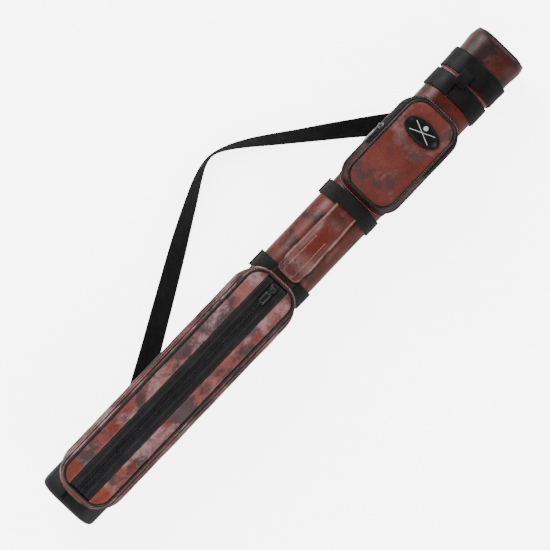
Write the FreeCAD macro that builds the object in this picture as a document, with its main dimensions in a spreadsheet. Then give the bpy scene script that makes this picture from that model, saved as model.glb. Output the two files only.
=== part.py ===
import FreeCAD, Part
import math
import os

import Sketcher

# A two-butt, two-shaft cue case with pockets, handle and shoulder strap, lying on its back.
# +Z is up and out of the pockets, +Y runs along the case from the boot to the lid.
# The origin is under the middle of the case, on the surface that it lies on.

os.makedirs("parts", exist_ok=True)
doc = FreeCAD.newDocument("cue_case")
sheet = doc.addObject("Spreadsheet::Sheet", "Sizes")

# Driving dimensions in mm. "along" places are measured from the bottom of the boot.
SIZES = {
    "case_length": 838.0,
    "case_side": 80.0,
    "corner_radius": 25.0,
    "skin_thickness": 1.2,
    "shell_wall": 2.0,
    "webbing": 1.5,
    "centre_height": 45.0,
    "boot_length": 37.0,
    "trim_proud": 3.5,
    "band_proud": 3.2,
    "boot_edge_radius": 7.0,
    "joint_along": 766.6,
    "joint_gap": 0.6,
    "binding_length": 2.3,
    "collar_along": 736.5,
    "collar_end": 764.0,
    "lid_band_along": 769.2,
    "lid_band_end": 799.0,
    "lid_top_radius": 9.0,
    "lower_band_along": 398.0,
    "lower_band_end": 424.5,
    "upper_band_along": 532.5,
    "upper_band_end": 555.0,
    "butt_bore_radius": 18.0,
    "butt_offset": 16.0,
    "shaft_bore_radius": 13.5,
    "shaft_offset": 19.0,
    "tube_wall": 1.2,
    "tube_along": 20.0,
    "tube_end": 765.8,
    "strap_width": 30.0,
    "strap_thickness": 1.4,
    "hinge_strap_width": 36.0,
    "ring_wire": 2.4,
    "ring_width": 42.0,
    "ring_depth": 20.0,
    "panel_thickness": 1.6,
    "piping_radius": 1.5,
    "gusset_wall": 1.8,
    "zip_tape_thickness": 1.2,
    "zip_coil_width": 6.0,
    "zip_coil_height": 1.6,
    "seam_offset": -10.5,
}
PLACED = {}
row = 0


def add_size(name, value):
    """Puts one plain number in the sheet under its alias."""
    global row
    row += 1
    sheet.set(f"A{row}", name)
    sheet.set(f"B{row}", f"{value:.4f}")
    sheet.setAlias(f"B{row}", name)
    PLACED[name] = value


def cells(label, **values):
    """Adds one piece's own sizes, as LABEL_KEY."""
    for key, value in values.items():
        add_size(f"{label}_{key}", value)


for size_name, size_value in SIZES.items():
    add_size(size_name, size_value)
doc.recompute()

SHIFT = SIZES["case_length"] / 2
CENTRE = SIZES["centre_height"]
TOP = CENTRE + SIZES["case_side"] / 2
nodes = []


def bind(item, prop, name):
    item.setExpression(prop, f"Sizes.{name}")


def node(item, label):
    """Marks an object as a sub-part that is written to parts/LABEL.step."""
    item.Label = label
    nodes.append(item)
    return item


def place(item, label, x=0.0, along=0.0, z=0.0):
    """Binds a sub-part's position to its own cells; along is turned into the row's Y."""
    cells(label, x=x, y=along - SHIFT, z=z)
    for axis in "xyz":
        bind(item, f"Placement.Base.{axis}", f"{label}_{axis}")


def new_body(label):
    return doc.addObject("PartDesign::Body", label + "_body")


def plane_of(body, role):
    for feature in body.Origin.OriginFeatures:
        if feature.Role == role:
            return feature


def sketch_on(body, role, name):
    sketch = body.newObject("Sketcher::SketchObject", name)
    sketch.AttachmentSupport = [(plane_of(body, role), "")]
    sketch.MapMode = "FlatFace"
    return sketch


def named_size(sketch, constraint, key, cell):
    """Adds a dimension to a sketch and binds it to a cell."""
    index = sketch.addConstraint(constraint)
    sketch.renameConstraint(index, key)
    bind(sketch, f"Constraints.{key}", cell)


def outline(sketch, key, width, height, radius):
    """A rounded rectangle about the sketch's origin; the sizes are cell names."""
    half_width = PLACED[width] / 2
    half_height = PLACED[height] / 2
    bend = PLACED[radius]
    inner_x = half_width - bend
    inner_y = half_height - bend
    ends = [
        ((-inner_x, -half_height), (inner_x, -half_height)),
        ((half_width, -inner_y), (half_width, inner_y)),
        ((inner_x, half_height), (-inner_x, half_height)),
        ((-half_width, inner_y), (-half_width, -inner_y)),
    ]
    corners = [(inner_x, -inner_y), (inner_x, inner_y), (-inner_x, inner_y), (-inner_x, -inner_y)]
    up = FreeCAD.Vector(0, 0, 1)
    sides = []
    arcs = []
    for a, b in ends:
        line = Part.LineSegment(FreeCAD.Vector(*a, 0), FreeCAD.Vector(*b, 0))
        sides.append(sketch.addGeometry(line, False))
    for turn, centre in enumerate(corners):
        circle = Part.Circle(FreeCAD.Vector(*centre, 0), up, bend)
        start = math.radians(turn * 90 - 90)
        arcs.append(sketch.addGeometry(Part.ArcOfCircle(circle, start, start + math.pi / 2), False))
    for turn in range(4):
        following = sides[(turn + 1) % 4]
        sketch.addConstraint(Sketcher.Constraint("Tangent", sides[turn], 2, arcs[turn], 1))
        sketch.addConstraint(Sketcher.Constraint("Tangent", arcs[turn], 2, following, 1))
    for turn in (0, 2):
        sketch.addConstraint(Sketcher.Constraint("Horizontal", sides[turn]))
        sketch.addConstraint(Sketcher.Constraint("Vertical", sides[turn + 1]))
    for turn in (1, 2, 3):
        sketch.addConstraint(Sketcher.Constraint("Equal", arcs[0], arcs[turn]))
    sketch.addConstraint(Sketcher.Constraint("Symmetric", sides[0], 1, sides[2], 1, -1, 1))
    named_size(sketch, Sketcher.Constraint("Radius", arcs[0], bend), key + "_bend", radius)
    wide = Sketcher.Constraint("DistanceX", sides[3], 1, sides[1], 1, 2 * half_width)
    named_size(sketch, wide, key + "_wide", width)
    high = Sketcher.Constraint("DistanceY", sides[0], 1, sides[2], 1, 2 * half_height)
    named_size(sketch, high, key + "_high", height)


def polygon(sketch, points):
    """A closed outline of straight runs through the given points."""
    sides = []
    for point, following in zip(points, points[1:] + points[:1]):
        line = Part.LineSegment(FreeCAD.Vector(*point, 0), FreeCAD.Vector(*following, 0))
        sides.append(sketch.addGeometry(line, False))
    for side, after in zip(sides, sides[1:] + sides[:1]):
        sketch.addConstraint(Sketcher.Constraint("Coincident", side, 2, after, 1))


def round_hole(sketch, key, x, y, radius):
    """A circle at a place in the sketch; the sizes are cell names."""
    centre = FreeCAD.Vector(PLACED[x], PLACED[y], 0)
    circle = sketch.addGeometry(Part.Circle(centre, FreeCAD.Vector(0, 0, 1), PLACED[radius]), False)
    named_size(sketch, Sketcher.Constraint("Radius", circle, PLACED[radius]), key + "_r", radius)
    named_size(sketch, Sketcher.Constraint("DistanceX", circle, 3, PLACED[x]), key + "_x", x)
    named_size(sketch, Sketcher.Constraint("DistanceY", circle, 3, PLACED[y]), key + "_y", y)


def pad(body, sketch, name, length, backwards=False, both_sides=False):
    """Extrudes a sketch by a cell's length, optionally against its normal."""
    feature = body.newObject("PartDesign::Pad", name)
    feature.Profile = sketch
    feature.Reversed = backwards
    feature.Midplane = both_sides
    feature.Refine = True
    bind(feature, "Length", length)
    sketch.Visibility = False
    return feature


def block(label, start, end, side, radius):
    """A solid rounded square bar along the case, from start to end."""
    cells(label, side=side, radius=radius, length=end - start)
    body = new_body(label)
    sketch = sketch_on(body, "XZ_Plane", label + "_section")
    outline(sketch, "outer", label + "_side", label + "_side", label + "_radius")
    pad(body, sketch, label + "_pad", label + "_length", backwards=True)
    place(body, label, 0.0, start, CENTRE)
    return body


def sleeve(label, start, end, outer, inner, outer_radius, inner_radius, cap=0.0, cap_first=True):
    """A rounded square tube along the case, with a closed end if cap is given."""
    cells(label, outer=outer, inner=inner, outer_radius=outer_radius, inner_radius=inner_radius)
    cells(label, wall_length=end - start - cap, wall_start=cap if cap_first else 0.0)
    body = new_body(label)
    ring = sketch_on(body, "XZ_Plane", label + "_ring")
    outline(ring, "outer", label + "_outer", label + "_outer", label + "_outer_radius")
    outline(ring, "inner", label + "_inner", label + "_inner", label + "_inner_radius")
    if cap and cap_first:
        ring.AttachmentOffset = FreeCAD.Placement(FreeCAD.Vector(0, 0, -cap), FreeCAD.Rotation())
    pad(body, ring, label + "_wall", label + "_wall_length", backwards=True)
    if cap:
        cells(label, cap=cap)
        end_sketch = sketch_on(body, "XZ_Plane", label + "_end")
        outline(end_sketch, "end", label + "_outer", label + "_outer", label + "_outer_radius")
        if not cap_first:
            lift = FreeCAD.Vector(0, 0, -(end - start - cap))
            end_sketch.AttachmentOffset = FreeCAD.Placement(lift, FreeCAD.Rotation())
        pad(body, end_sketch, label + "_cap_pad", label + "_cap", backwards=True)
    place(body, label, 0.0, start, CENTRE)
    return body


def round_end_edges(body, label, along, radius):
    """Fillets the outline of the closed end that lies at a local Y."""
    doc.recompute()
    sharp = body.Tip
    picked = []
    for index, edge in enumerate(sharp.Shape.Edges):
        box = edge.BoundBox
        if abs(box.YMin - along) < 0.01 and abs(box.YMax - along) < 0.01:
            picked.append(f"Edge{index + 1}")
    fillet = body.newObject("PartDesign::Fillet", label + "_fillet")
    fillet.Base = (sharp, picked)
    bind(fillet, "Radius", radius)
    body.Tip = fillet


def panel(label, x, along, low, width, length, radius, thickness):
    """A flat rounded sheet that faces +Z; x and along are its middle."""
    cells(label, width=width, length=length, radius=radius, thick=thickness)
    body = new_body(label)
    sketch = sketch_on(body, "XY_Plane", label + "_outline")
    outline(sketch, "edge", label + "_width", label + "_length", label + "_radius")
    pad(body, sketch, label + "_pad", label + "_thick")
    place(body, label, x, along, low)
    return body


def box(label, x, along, low, width, length, height):
    """A plain strip; x and along are its lower corner."""
    cells(label, width=width, length=length, high=height)
    item = doc.addObject("Part::Box", label + "_box")
    bind(item, "Length", label + "_width")
    bind(item, "Width", label + "_length")
    bind(item, "Height", label + "_high")
    place(item, label, x, along, low)
    return item


def cut(base, tool, name):
    item = doc.addObject("Part::Cut", name)
    item.Base = base
    item.Tool = tool
    return item


def section_loft(label, levels):
    """A ruled loft through rounded rectangles: (z, half width, start, end, radius) each."""
    body = new_body(label)
    profiles = []
    for index, (level, half, start, end, bend) in enumerate(levels):
        key = f"{label}_{index}"
        cells(key, wide=2 * half, long=end - start, bend=bend, level=level)
        cells(key, middle=(start + end) / 2 - SHIFT)
        sketch = sketch_on(body, "XY_Plane", key + "_ring")
        bind(sketch, "AttachmentOffset.Base.y", key + "_middle")
        bind(sketch, "AttachmentOffset.Base.z", key + "_level")
        outline(sketch, "ring", key + "_wide", key + "_long", key + "_bend")
        sketch.Visibility = False
        profiles.append(sketch)
    loft = body.newObject("PartDesign::AdditiveLoft", label + "_loft")
    loft.Profile = profiles[0]
    loft.Sections = profiles[1:]
    loft.Ruled = True
    return body


def grown(levels, amount, low_extra=0.0, high_extra=0.0):
    """The same stack of sections, larger by amount all round and taller at its ends."""
    out = []
    for index, (level, half, start, end, bend) in enumerate(levels):
        if index == 0:
            level -= low_extra
        if index == len(levels) - 1:
            level += high_extra
        out.append((level, half + amount, start - amount, end + amount, bend + amount))
    return out


def ring_pipe(label, x, along, z, width, length, radius, wire):
    """A round cord that follows a rounded rectangle lying flat."""
    cells(label, width=width, length=length, radius=radius, wire=wire)
    body = new_body(label)
    path = sketch_on(body, "XY_Plane", label + "_path")
    outline(path, "path", label + "_width", label + "_length", label + "_radius")
    profile = sketch_on(body, "XZ_Plane", label + "_wire_section")
    section = Part.Circle(FreeCAD.Vector(width / 2, 0, 0), FreeCAD.Vector(0, 0, 1), wire)
    circle = profile.addGeometry(section, False)
    named_size(profile, Sketcher.Constraint("Radius", circle, wire), "wire", label + "_wire")
    doc.recompute()
    pipe = body.newObject("PartDesign::AdditivePipe", label + "_pipe")
    pipe.Profile = profile
    pipe.Spine = path
    path.Visibility = False
    profile.Visibility = False
    place(body, label, x, along, z)
    return body


# --- Rigid body, tubes and inserts -------------------------------------------------------

skin_side = SIZES["case_side"]
shell_side = skin_side - 2 * SIZES["skin_thickness"]
core_side = shell_side - 2 * SIZES["shell_wall"]
skin_bend = SIZES["corner_radius"]
shell_bend = skin_bend - SIZES["skin_thickness"]
core_bend = shell_bend - SIZES["shell_wall"]
fit_gap = 0.2
boot_wall = SIZES["trim_proud"]
boot_side = skin_side + 2 * boot_wall
boot_bend = skin_bend + boot_wall
mouth = SIZES["joint_along"] - SIZES["joint_gap"] / 2
lid_start = SIZES["joint_along"] + SIZES["joint_gap"] / 2
binding = SIZES["binding_length"]

node(sleeve("body_shell", boot_wall, mouth - binding, shell_side, core_side, shell_bend, core_bend),
     "body_shell")
node(sleeve("body_skin", boot_wall, mouth, skin_side, shell_side, skin_bend, shell_bend), "body_skin")
node(sleeve("mouth_binding", mouth - binding, mouth, shell_side, core_side, shell_bend, core_bend),
     "mouth_binding")

insert_side = core_side - fit_gap
insert_bend = core_bend - fit_gap / 2
node(block("base_pad", boot_wall, SIZES["tube_along"], insert_side, insert_bend), "base_pad")

TUBES = {
    "butt_tube_front": ("butt", -1, 1),
    "butt_tube_back": ("butt", 1, -1),
    "shaft_tube_front": ("shaft", 1, 1),
    "shaft_tube_back": ("shaft", -1, -1),
}
for tube, (kind, across, outward) in TUBES.items():
    bore = SIZES[kind + "_bore_radius"]
    away = SIZES[kind + "_offset"]
    cells(tube, bore=bore, outside=bore + SIZES["tube_wall"], away_x=across * away)
    cells(tube, away_z=outward * away, length=SIZES["tube_end"] - SIZES["tube_along"])


def insert(label, start, end, wall):
    """A plate with four round holes, as wide as the tubes' bore or outside."""
    cells(label, side=insert_side, radius=insert_bend, length=end - start)
    body = new_body(label)
    sketch = sketch_on(body, "XZ_Plane", label + "_section")
    outline(sketch, "edge", label + "_side", label + "_side", label + "_radius")
    for index, tube in enumerate(TUBES):
        round_hole(sketch, f"hole{index}", tube + "_away_x", tube + "_away_z", f"{tube}_{wall}")
    pad(body, sketch, label + "_pad", label + "_length", backwards=True)
    place(body, label, 0.0, start, CENTRE)
    return body


plate_thickness = 6.0
node(insert("base_plate", SIZES["tube_along"], SIZES["tube_along"] + plate_thickness, "outside"),
     "base_plate")
node(insert("mouth_plate", SIZES["tube_end"] - plate_thickness, SIZES["tube_end"], "outside"), "mouth_plate")

for tube in TUBES:
    parts = []
    for which in ("outside", "bore"):
        cylinder = doc.addObject("Part::Cylinder", f"{tube}_{which}_cylinder")
        bind(cylinder, "Radius", f"{tube}_{which}")
        bind(cylinder, "Height", tube + "_length")
        cylinder.Placement.Rotation = FreeCAD.Rotation(FreeCAD.Vector(1, 0, 0), -90)
        parts.append(cylinder)
    tube_piece = cut(parts[0], parts[1], tube + "_cut")
    place(tube_piece, tube, PLACED[tube + "_away_x"], SIZES["tube_along"], CENTRE + PLACED[tube + "_away_z"])
    node(tube_piece, tube)

# --- Boot, collar and bands --------------------------------------------------------------

boot = sleeve("bottom_boot", 0.0, SIZES["boot_length"], boot_side, skin_side, boot_bend, skin_bend, boot_wall)
round_end_edges(boot, "bottom_boot", 0.0, "boot_edge_radius")
node(boot, "bottom_boot")

boot_top = CENTRE + boot_side / 2
strip_width = 5.5
strip_thick = 0.8
node(box("boot_seam_strip", SIZES["seam_offset"] - strip_width / 2, SIZES["boot_edge_radius"], boot_top,
         strip_width, SIZES["boot_length"] - SIZES["boot_edge_radius"], strip_thick), "boot_seam_strip")

collar = sleeve("collar_band", SIZES["collar_along"], SIZES["collar_end"], boot_side, skin_side,
                boot_bend, skin_bend)
slit_width = 2.8
past = 1.0
slit = box("collar_slit", SIZES["seam_offset"] - slit_width / 2, SIZES["collar_along"] - past, TOP - past,
           slit_width, SIZES["collar_end"] - SIZES["collar_along"] + 2 * past, boot_wall + 2 * past)
node(cut(collar, slit, "collar_cut"), "collar_band")

band_side = skin_side + 2 * SIZES["band_proud"]
band_bend = skin_bend + SIZES["band_proud"]
for band in ("lower_band", "upper_band"):
    node(sleeve(band, SIZES[band + "_along"], SIZES[band + "_end"], band_side, skin_side, band_bend,
                skin_bend), band)

# Flat slide buckles that the bands are threaded through, on the left side wall.
buckle_high = 18.0
buckle_bar = 3.0
buckle_thick = 1.8
buckle_bend = 2.5
slot_bend = 1.0
buckle_lift = 3.0
for band in ("lower_band", "upper_band"):
    label = band + "_buckle"
    length = SIZES[band + "_end"] - SIZES[band + "_along"] + 1.0
    cells(label, high=buckle_high, length=length, bend=buckle_bend, thick=buckle_thick)
    cells(label, slot=length - 2 * buckle_bar, slot_bend=slot_bend)
    cells(label, slot_high=buckle_high - 2 * buckle_bar)
    buckle = new_body(label)
    frame_sketch = sketch_on(buckle, "YZ_Plane", label + "_frame")
    outline(frame_sketch, "edge", label + "_length", label + "_high", label + "_bend")
    outline(frame_sketch, "slot", label + "_slot", label + "_slot_high", label + "_slot_bend")
    pad(buckle, frame_sketch, label + "_pad", label + "_thick", backwards=True)
    middle = (SIZES[band + "_along"] + SIZES[band + "_end"]) / 2
    place(buckle, label, -band_side / 2, middle, CENTRE + buckle_lift)
    node(buckle, label)

# --- Back webbing, rings and shoulder strap ----------------------------------------------

ring_bar_height = SIZES["webbing"] + 0.1 + SIZES["ring_wire"] / 2
wrap_top = CENTRE - skin_side / 2
wrap_layer = 0.8
fold_wall = 1.2


def back_webbing(label, start, end, ring_side, layer_end):
    """Webbing on the back, folded round a ring's bar at one end and back onto itself."""
    body = new_body(label)
    sketch = sketch_on(body, "YZ_Plane", label + "_profile")
    low, thick, high = 0.0, SIZES["webbing"], wrap_top
    if ring_side > 0:
        points = [(start, low), (end, low), (end, high), (layer_end, high), (layer_end, high - wrap_layer),
                  (end - fold_wall, high - wrap_layer), (end - fold_wall, thick), (start, thick)]
    else:
        points = [(start, low), (end, low), (end, thick), (start + fold_wall, thick),
                  (start + fold_wall, high - wrap_layer), (layer_end, high - wrap_layer), (layer_end, high),
                  (start, high)]
    polygon(sketch, [(y - SHIFT, z) for y, z in points])
    pad(body, sketch, label + "_pad", "hinge_strap_width", both_sides=True)
    return body


lower_ring_along = 96.0
upper_ring_along = 729.0
ring_room = SIZES["ring_wire"] / 2 + 0.3
anchor_start = 8.0
fold_back = 16.0
ring_corner = 3.0
node(back_webbing("anchor_webbing", anchor_start, lower_ring_along + ring_room + fold_wall, 1,
                  lower_ring_along - fold_back), "anchor_webbing")
node(back_webbing("hinge_strap_body", upper_ring_along - ring_room - fold_wall, mouth, -1,
                  SIZES["collar_along"] - 0.5), "hinge_strap_body")

for label, bar_along, direction in (("lower_ring", lower_ring_along, 1),
                                    ("upper_ring", upper_ring_along, -1)):
    ring = ring_pipe(label, 0.0, bar_along + direction * SIZES["ring_depth"] / 2, ring_bar_height,
                     SIZES["ring_width"], SIZES["ring_depth"], ring_corner, SIZES["ring_wire"] / 2)
    node(ring, label)

# The shoulder strap's route: x, along, and the lean of the webbing from flat in degrees.
STRAP_ROUTE = [
    (1, 711, 0),
    (-21, 685, 0),
    (-44, 657, 18),
    (-66, 630, 36),
    (-89, 601, 44),
    (-113, 570, 55),
    (-137, 540, 61),
    (-156, 516, 69),
    (-171, 494, 79),
    (-181.5, 472, 88),
    (-180.5, 454, 82),
    (-172, 432, 69),
    (-158, 405, 58),
    (-141, 372, 48),
    (-122, 337, 38),
    (-101, 299, 33),
    (-80, 260, 27),
    (-59, 222, 22),
    (-40, 186, 14),
    (-21, 150, 0),
    (-2, 114, 0),
]


def strap_centre(x, along, lean):
    """A point of the strap's middle line, with its lower edge on the surface."""
    lift = SIZES["strap_width"] / 2 * math.sin(math.radians(lean))
    lift += SIZES["strap_thickness"] / 2 * math.cos(math.radians(lean)) + 0.1
    return FreeCAD.Vector(x, along - SHIFT, lift)


def strap_wires():
    """The strap's section at each point of its route, outer edge raised."""
    centres = [strap_centre(*point) for point in STRAP_ROUTE]
    wires = []
    for index, centre in enumerate(centres):
        before = centres[max(index - 1, 0)]
        after = centres[min(index + 1, len(centres) - 1)]
        ahead = FreeCAD.Vector(after.x - before.x, after.y - before.y, 0).normalize()
        outward = FreeCAD.Vector(ahead.y, -ahead.x, 0)
        lean = math.radians(STRAP_ROUTE[index][2])
        across = outward * math.cos(lean) + FreeCAD.Vector(0, 0, math.sin(lean))
        through = ahead.cross(across)
        a = across * (SIZES["strap_width"] / 2)
        b = through * (SIZES["strap_thickness"] / 2)
        corners = [centre - a - b, centre + a - b, centre + a + b, centre - a + b]
        wires.append(Part.makePolygon(corners + corners[:1]))
    return wires


strap = doc.addObject("Part::Feature", "strap_ribbon")
strap.Shape = Part.makeLoft(strap_wires(), True, True)
node(strap, "shoulder_strap")

# --- Long pocket -------------------------------------------------------------------------

LONG_FRONT = 112.0
LONG_LEVELS = [
    (52.0, 41.9, 26.0, 400.0, 32.0),
    (64.0, 47.9, 17.0, 411.0, 38.0),
    (92.0, 47.9, 17.0, 411.0, 38.0),
    (107.0, 42.0, 24.5, 409.6, 26.0),
    (LONG_FRONT, 38.8, 27.4, 409.2, 21.8),
]
SMALL_FRONT = 107.0
SMALL_LEVELS = [
    (52.0, 41.9, 567.0, 709.0, 22.0),
    (62.0, 47.0, 560.5, 716.0, 28.0),
    (84.0, 47.0, 560.5, 716.0, 28.0),
    (SMALL_FRONT, 39.3, 563.2, 713.8, 23.8),
]
gusset_wall = SIZES["gusset_wall"]
clear = 0.1
room_start = -10.0
body_room = block("body_room", room_start, SIZES["case_length"], skin_side + clear, skin_bend + clear / 2)
boot_room = block("boot_room", room_start, SIZES["boot_length"] + clear, boot_side + clear,
                  boot_bend + clear / 2)
band_room = block("band_room", SIZES["lower_band_along"] - clear, SIZES["lower_band_end"] + clear,
                  band_side + clear, band_bend + clear / 2)
strip_room = box("strip_room", SIZES["seam_offset"] - strip_width / 2 - clear, 0.0, boot_top - past,
                 strip_width + 2 * clear, SIZES["boot_length"] + clear, past + strip_thick + clear)

long_outer = section_loft("long_gusset_outer", LONG_LEVELS)
long_inner = section_loft("long_gusset_inner", grown(LONG_LEVELS, -gusset_wall, past, past))
long_gusset = cut(long_outer, long_inner, "long_gusset_shell")
for room_label, room in (("body", body_room), ("boot", boot_room), ("band", band_room),
                         ("strip", strip_room)):
    long_gusset = cut(long_gusset, room, f"long_gusset_off_{room_label}")
node(long_gusset, "long_pocket_gusset")

small_outer = section_loft("small_gusset_outer", SMALL_LEVELS)
small_inner = section_loft("small_gusset_inner", grown(SMALL_LEVELS, -gusset_wall, past, past))
small_gusset = cut(cut(small_outer, small_inner, "small_gusset_shell"), body_room, "small_gusset_off_body")
node(small_gusset, "small_pocket_gusset")

pipe_radius = SIZES["piping_radius"]
pipe_gap = 0.1
pipe_lift = 0.05


def front_edge(levels):
    """The flat front opening of a pocket: half width, start and end of its panel."""
    _, half, start, end, bend = levels[-1]
    inset = pipe_radius * 2 + pipe_gap
    return half - inset, start + inset, end - inset, bend - inset


for label, levels, front in (("long_pocket_piping", LONG_LEVELS, LONG_FRONT),
                             ("small_pocket_piping", SMALL_LEVELS, SMALL_FRONT)):
    _, half, start, end, bend = levels[-1]
    piping = ring_pipe(label, 0.0, (start + end) / 2, front + pipe_radius + pipe_lift,
                       2 * (half - pipe_radius), end - start - 2 * pipe_radius, bend - pipe_radius,
                       pipe_radius)
    node(piping, label)

half, start, end, bend = front_edge(LONG_LEVELS)
zip_half = 16.8
window_inset = 1.2
tape_gap = 0.1
panel_sheet = SIZES["panel_thickness"]
long_sheet = panel("long_panel_sheet", 0.0, (start + end) / 2, LONG_FRONT, 2 * half, end - start, bend,
                   panel_sheet)
window = box("long_zip_window", -zip_half, start + window_inset, LONG_FRONT - past, 2 * zip_half,
             end - start - 2 * window_inset, panel_sheet + 2 * past)
node(cut(long_sheet, window, "long_panel_cut"), "long_pocket_panel")
tape_start = start + window_inset + tape_gap
tape_length = end - start - 2 * (window_inset + tape_gap)
tape_thick = SIZES["zip_tape_thickness"]
for side, low_x in (("left", -zip_half + tape_gap / 2), ("right", tape_gap)):
    label = "long_zip_tape_" + side
    node(box(label, low_x, tape_start, LONG_FRONT, zip_half - 1.5 * tape_gap, tape_length, tape_thick), label)
coil_width = SIZES["zip_coil_width"]
coil_height = SIZES["zip_coil_height"]
coil_low = LONG_FRONT + tape_thick
coil_inset = 4.0
node(box("long_zip_coil", -coil_width / 2, tape_start + coil_inset, coil_low, coil_width,
         tape_length - 2 * coil_inset, coil_height), "long_zip_coil")

# --- Small pocket front, its zip and badge -----------------------------------------------

half, start, end, bend = front_edge(SMALL_LEVELS)
node(panel("small_pocket_panel", 0.0, (start + end) / 2, SMALL_FRONT, 2 * half, end - start, bend,
           panel_sheet), "small_pocket_panel")

small_low = SMALL_LEVELS[2]
small_high = SMALL_LEVELS[3]
zip_rise = small_high[0] - small_low[0]
zip_lean = math.atan2(zip_rise, small_low[1] - small_high[1])
zip_left_end = 617.0
zip_right_end = 637.0
tape_band = (91.0, 104.0)
coil_middle = sum(tape_band) / 2
reach_x = 70.0
reach_along = 130.0


def around_zip(label, inside, outside, low, high):
    """A strip on the small pocket's gusset: up the left side, over the top, down the right."""
    outer = section_loft(label + "_outer", grown(SMALL_LEVELS, outside))
    inner = section_loft(label + "_inner", grown(SMALL_LEVELS, inside, past, past))
    ring = cut(outer, inner, label + "_ring")
    left = box(label + "_left_reach", -reach_x, zip_left_end, low, reach_x, reach_along, high - low)
    right = box(label + "_right_reach", 0.0, zip_right_end, low, reach_x, reach_along, high - low)
    reach = doc.addObject("Part::Fuse", label + "_reach")
    reach.Base = left
    reach.Tool = right
    item = doc.addObject("Part::Common", label + "_strip")
    item.Base = ring
    item.Tool = reach
    return item


small_tape_thick = 0.8
small_coil_high = 1.0
small_coil_half = 1.9
hair = 0.05
node(around_zip("small_zip_tape", hair, small_tape_thick, *tape_band), "small_zip_tape")
node(around_zip("small_zip_coil", small_tape_thick + hair, small_tape_thick + small_coil_high,
                coil_middle - small_coil_half, coil_middle + small_coil_half), "small_zip_coil")

badge_along = 677.0
badge_low = SMALL_FRONT + panel_sheet
badge_long = 27.5
badge_short = 15.0
badge_edge = 2.6
badge = new_body("badge")
cells("badge", plate=1.6, rim=0.9)
for name in ("plate", "rim"):
    sketch = sketch_on(badge, "XY_Plane", "badge_" + name + "_outline")
    centre = FreeCAD.Vector(0, 0, 0)
    sketch.addGeometry(Part.Ellipse(centre, badge_long, badge_short), False)
    if name == "rim":
        sketch.addGeometry(Part.Ellipse(centre, badge_long - badge_edge, badge_short - badge_edge), False)
        bind(sketch, "AttachmentOffset.Base.z", "badge_plate")
    pad(badge, sketch, "badge_" + name + "_pad", "badge_" + name)
place(badge, "badge", 0.0, badge_along, badge_low)
node(badge, "badge")

# --- Handle ------------------------------------------------------------------------------

handle_width = 37.0
grip_top = 110.0
grip_thick = 11.0
foot_low = TOP + SIZES["band_proud"] + 0.1
handle_start = 420.0
handle_end = SIZES["upper_band_along"] - 0.1
handle_profile = [
    (handle_start, foot_low),
    (handle_start, foot_low + 8.0),
    (handle_start + 9.0, grip_top - 5.0),
    (handle_start + 22.0, grip_top),
    (handle_end - 22.0, grip_top),
    (handle_end - 9.0, grip_top - 5.0),
    (handle_end, foot_low + 8.0),
    (handle_end, TOP + 0.1),
    (handle_end - 7.0, TOP + 0.1),
    (handle_end - 14.0, grip_top - grip_thick - 2.0),
    (handle_end - 25.0, grip_top - grip_thick),
    (handle_start + 25.0, grip_top - grip_thick),
    (handle_start + 14.0, grip_top - grip_thick - 2.0),
    (handle_start + 8.0, foot_low),
]
handle = new_body("handle")
cells("handle", wide=handle_width)
handle_sketch = sketch_on(handle, "YZ_Plane", "handle_profile")
polygon(handle_sketch, [(y - SHIFT, z) for y, z in handle_profile])
pad(handle, handle_sketch, "handle_pad_feature", "handle_wide", both_sides=True)
node(handle, "handle_pad")

# --- Lid ---------------------------------------------------------------------------------

lid_length = SIZES["case_length"] - lid_start
skin_cap = 2.0
shell_cap = 2.5
lid_skin = sleeve("lid_skin", lid_start, SIZES["case_length"], skin_side, shell_side, skin_bend, shell_bend,
                  skin_cap, cap_first=False)
round_end_edges(lid_skin, "lid_skin", lid_length, "lid_top_radius")
node(lid_skin, "lid_skin")

shell_end = SIZES["case_length"] - skin_cap - fit_gap
shell_edge_less = 1.5
lid_shell = sleeve("lid_shell", lid_start + binding, shell_end, shell_side, core_side, shell_bend, core_bend,
                   shell_cap, cap_first=False)
add_size("lid_shell_edge", SIZES["lid_top_radius"] - shell_edge_less)
round_end_edges(lid_shell, "lid_shell", shell_end - lid_start - binding, "lid_shell_edge")
node(lid_shell, "lid_shell")
node(sleeve("lid_binding", lid_start, lid_start + binding, shell_side, core_side, shell_bend, core_bend),
     "lid_binding")
insert_recess = 0.8
socket_depth = 26.0
insert_end = lid_start + insert_recess + socket_depth
pad_inset = 5.0
node(insert("lid_insert", lid_start + insert_recess, insert_end, "bore"), "lid_insert")
node(block("lid_pad", insert_end, shell_end - shell_cap - clear, core_side - pad_inset,
           core_bend - pad_inset / 2), "lid_pad")
node(sleeve("lid_band", SIZES["lid_band_along"], SIZES["lid_band_end"], boot_side, skin_side, boot_bend,
            skin_bend), "lid_band")
hinge_reach = 832.0
node(box("hinge_strap_lid", -SIZES["hinge_strap_width"] / 2, lid_start, 0.0, SIZES["hinge_strap_width"],
         hinge_reach - lid_start, SIZES["webbing"]), "hinge_strap_lid")

# --- Closure tab and its press stud ------------------------------------------------------

tab_width = 17.0
tab_x = -8.5
stud_along = 759.5
stud_disc = 0.6
stud_post = 1.0
socket_low = boot_top + stud_disc + 0.3
socket_high = socket_low + 0.9
tab_thick = 1.6
tab_hinge = 770.2
tab_gap = 0.3
tab_base_long = 9.0
node(box("closure_tab_base", tab_x - tab_width / 2, tab_hinge + tab_gap, boot_top, tab_width, tab_base_long,
         socket_high + tab_thick - boot_top), "closure_tab_base")
tab_start = 755.5
tab = panel("closure_tab", tab_x, (tab_start + tab_hinge) / 2, socket_high, tab_width, tab_hinge - tab_start,
            2.0, tab_thick)
node(tab, "closure_tab")


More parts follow.
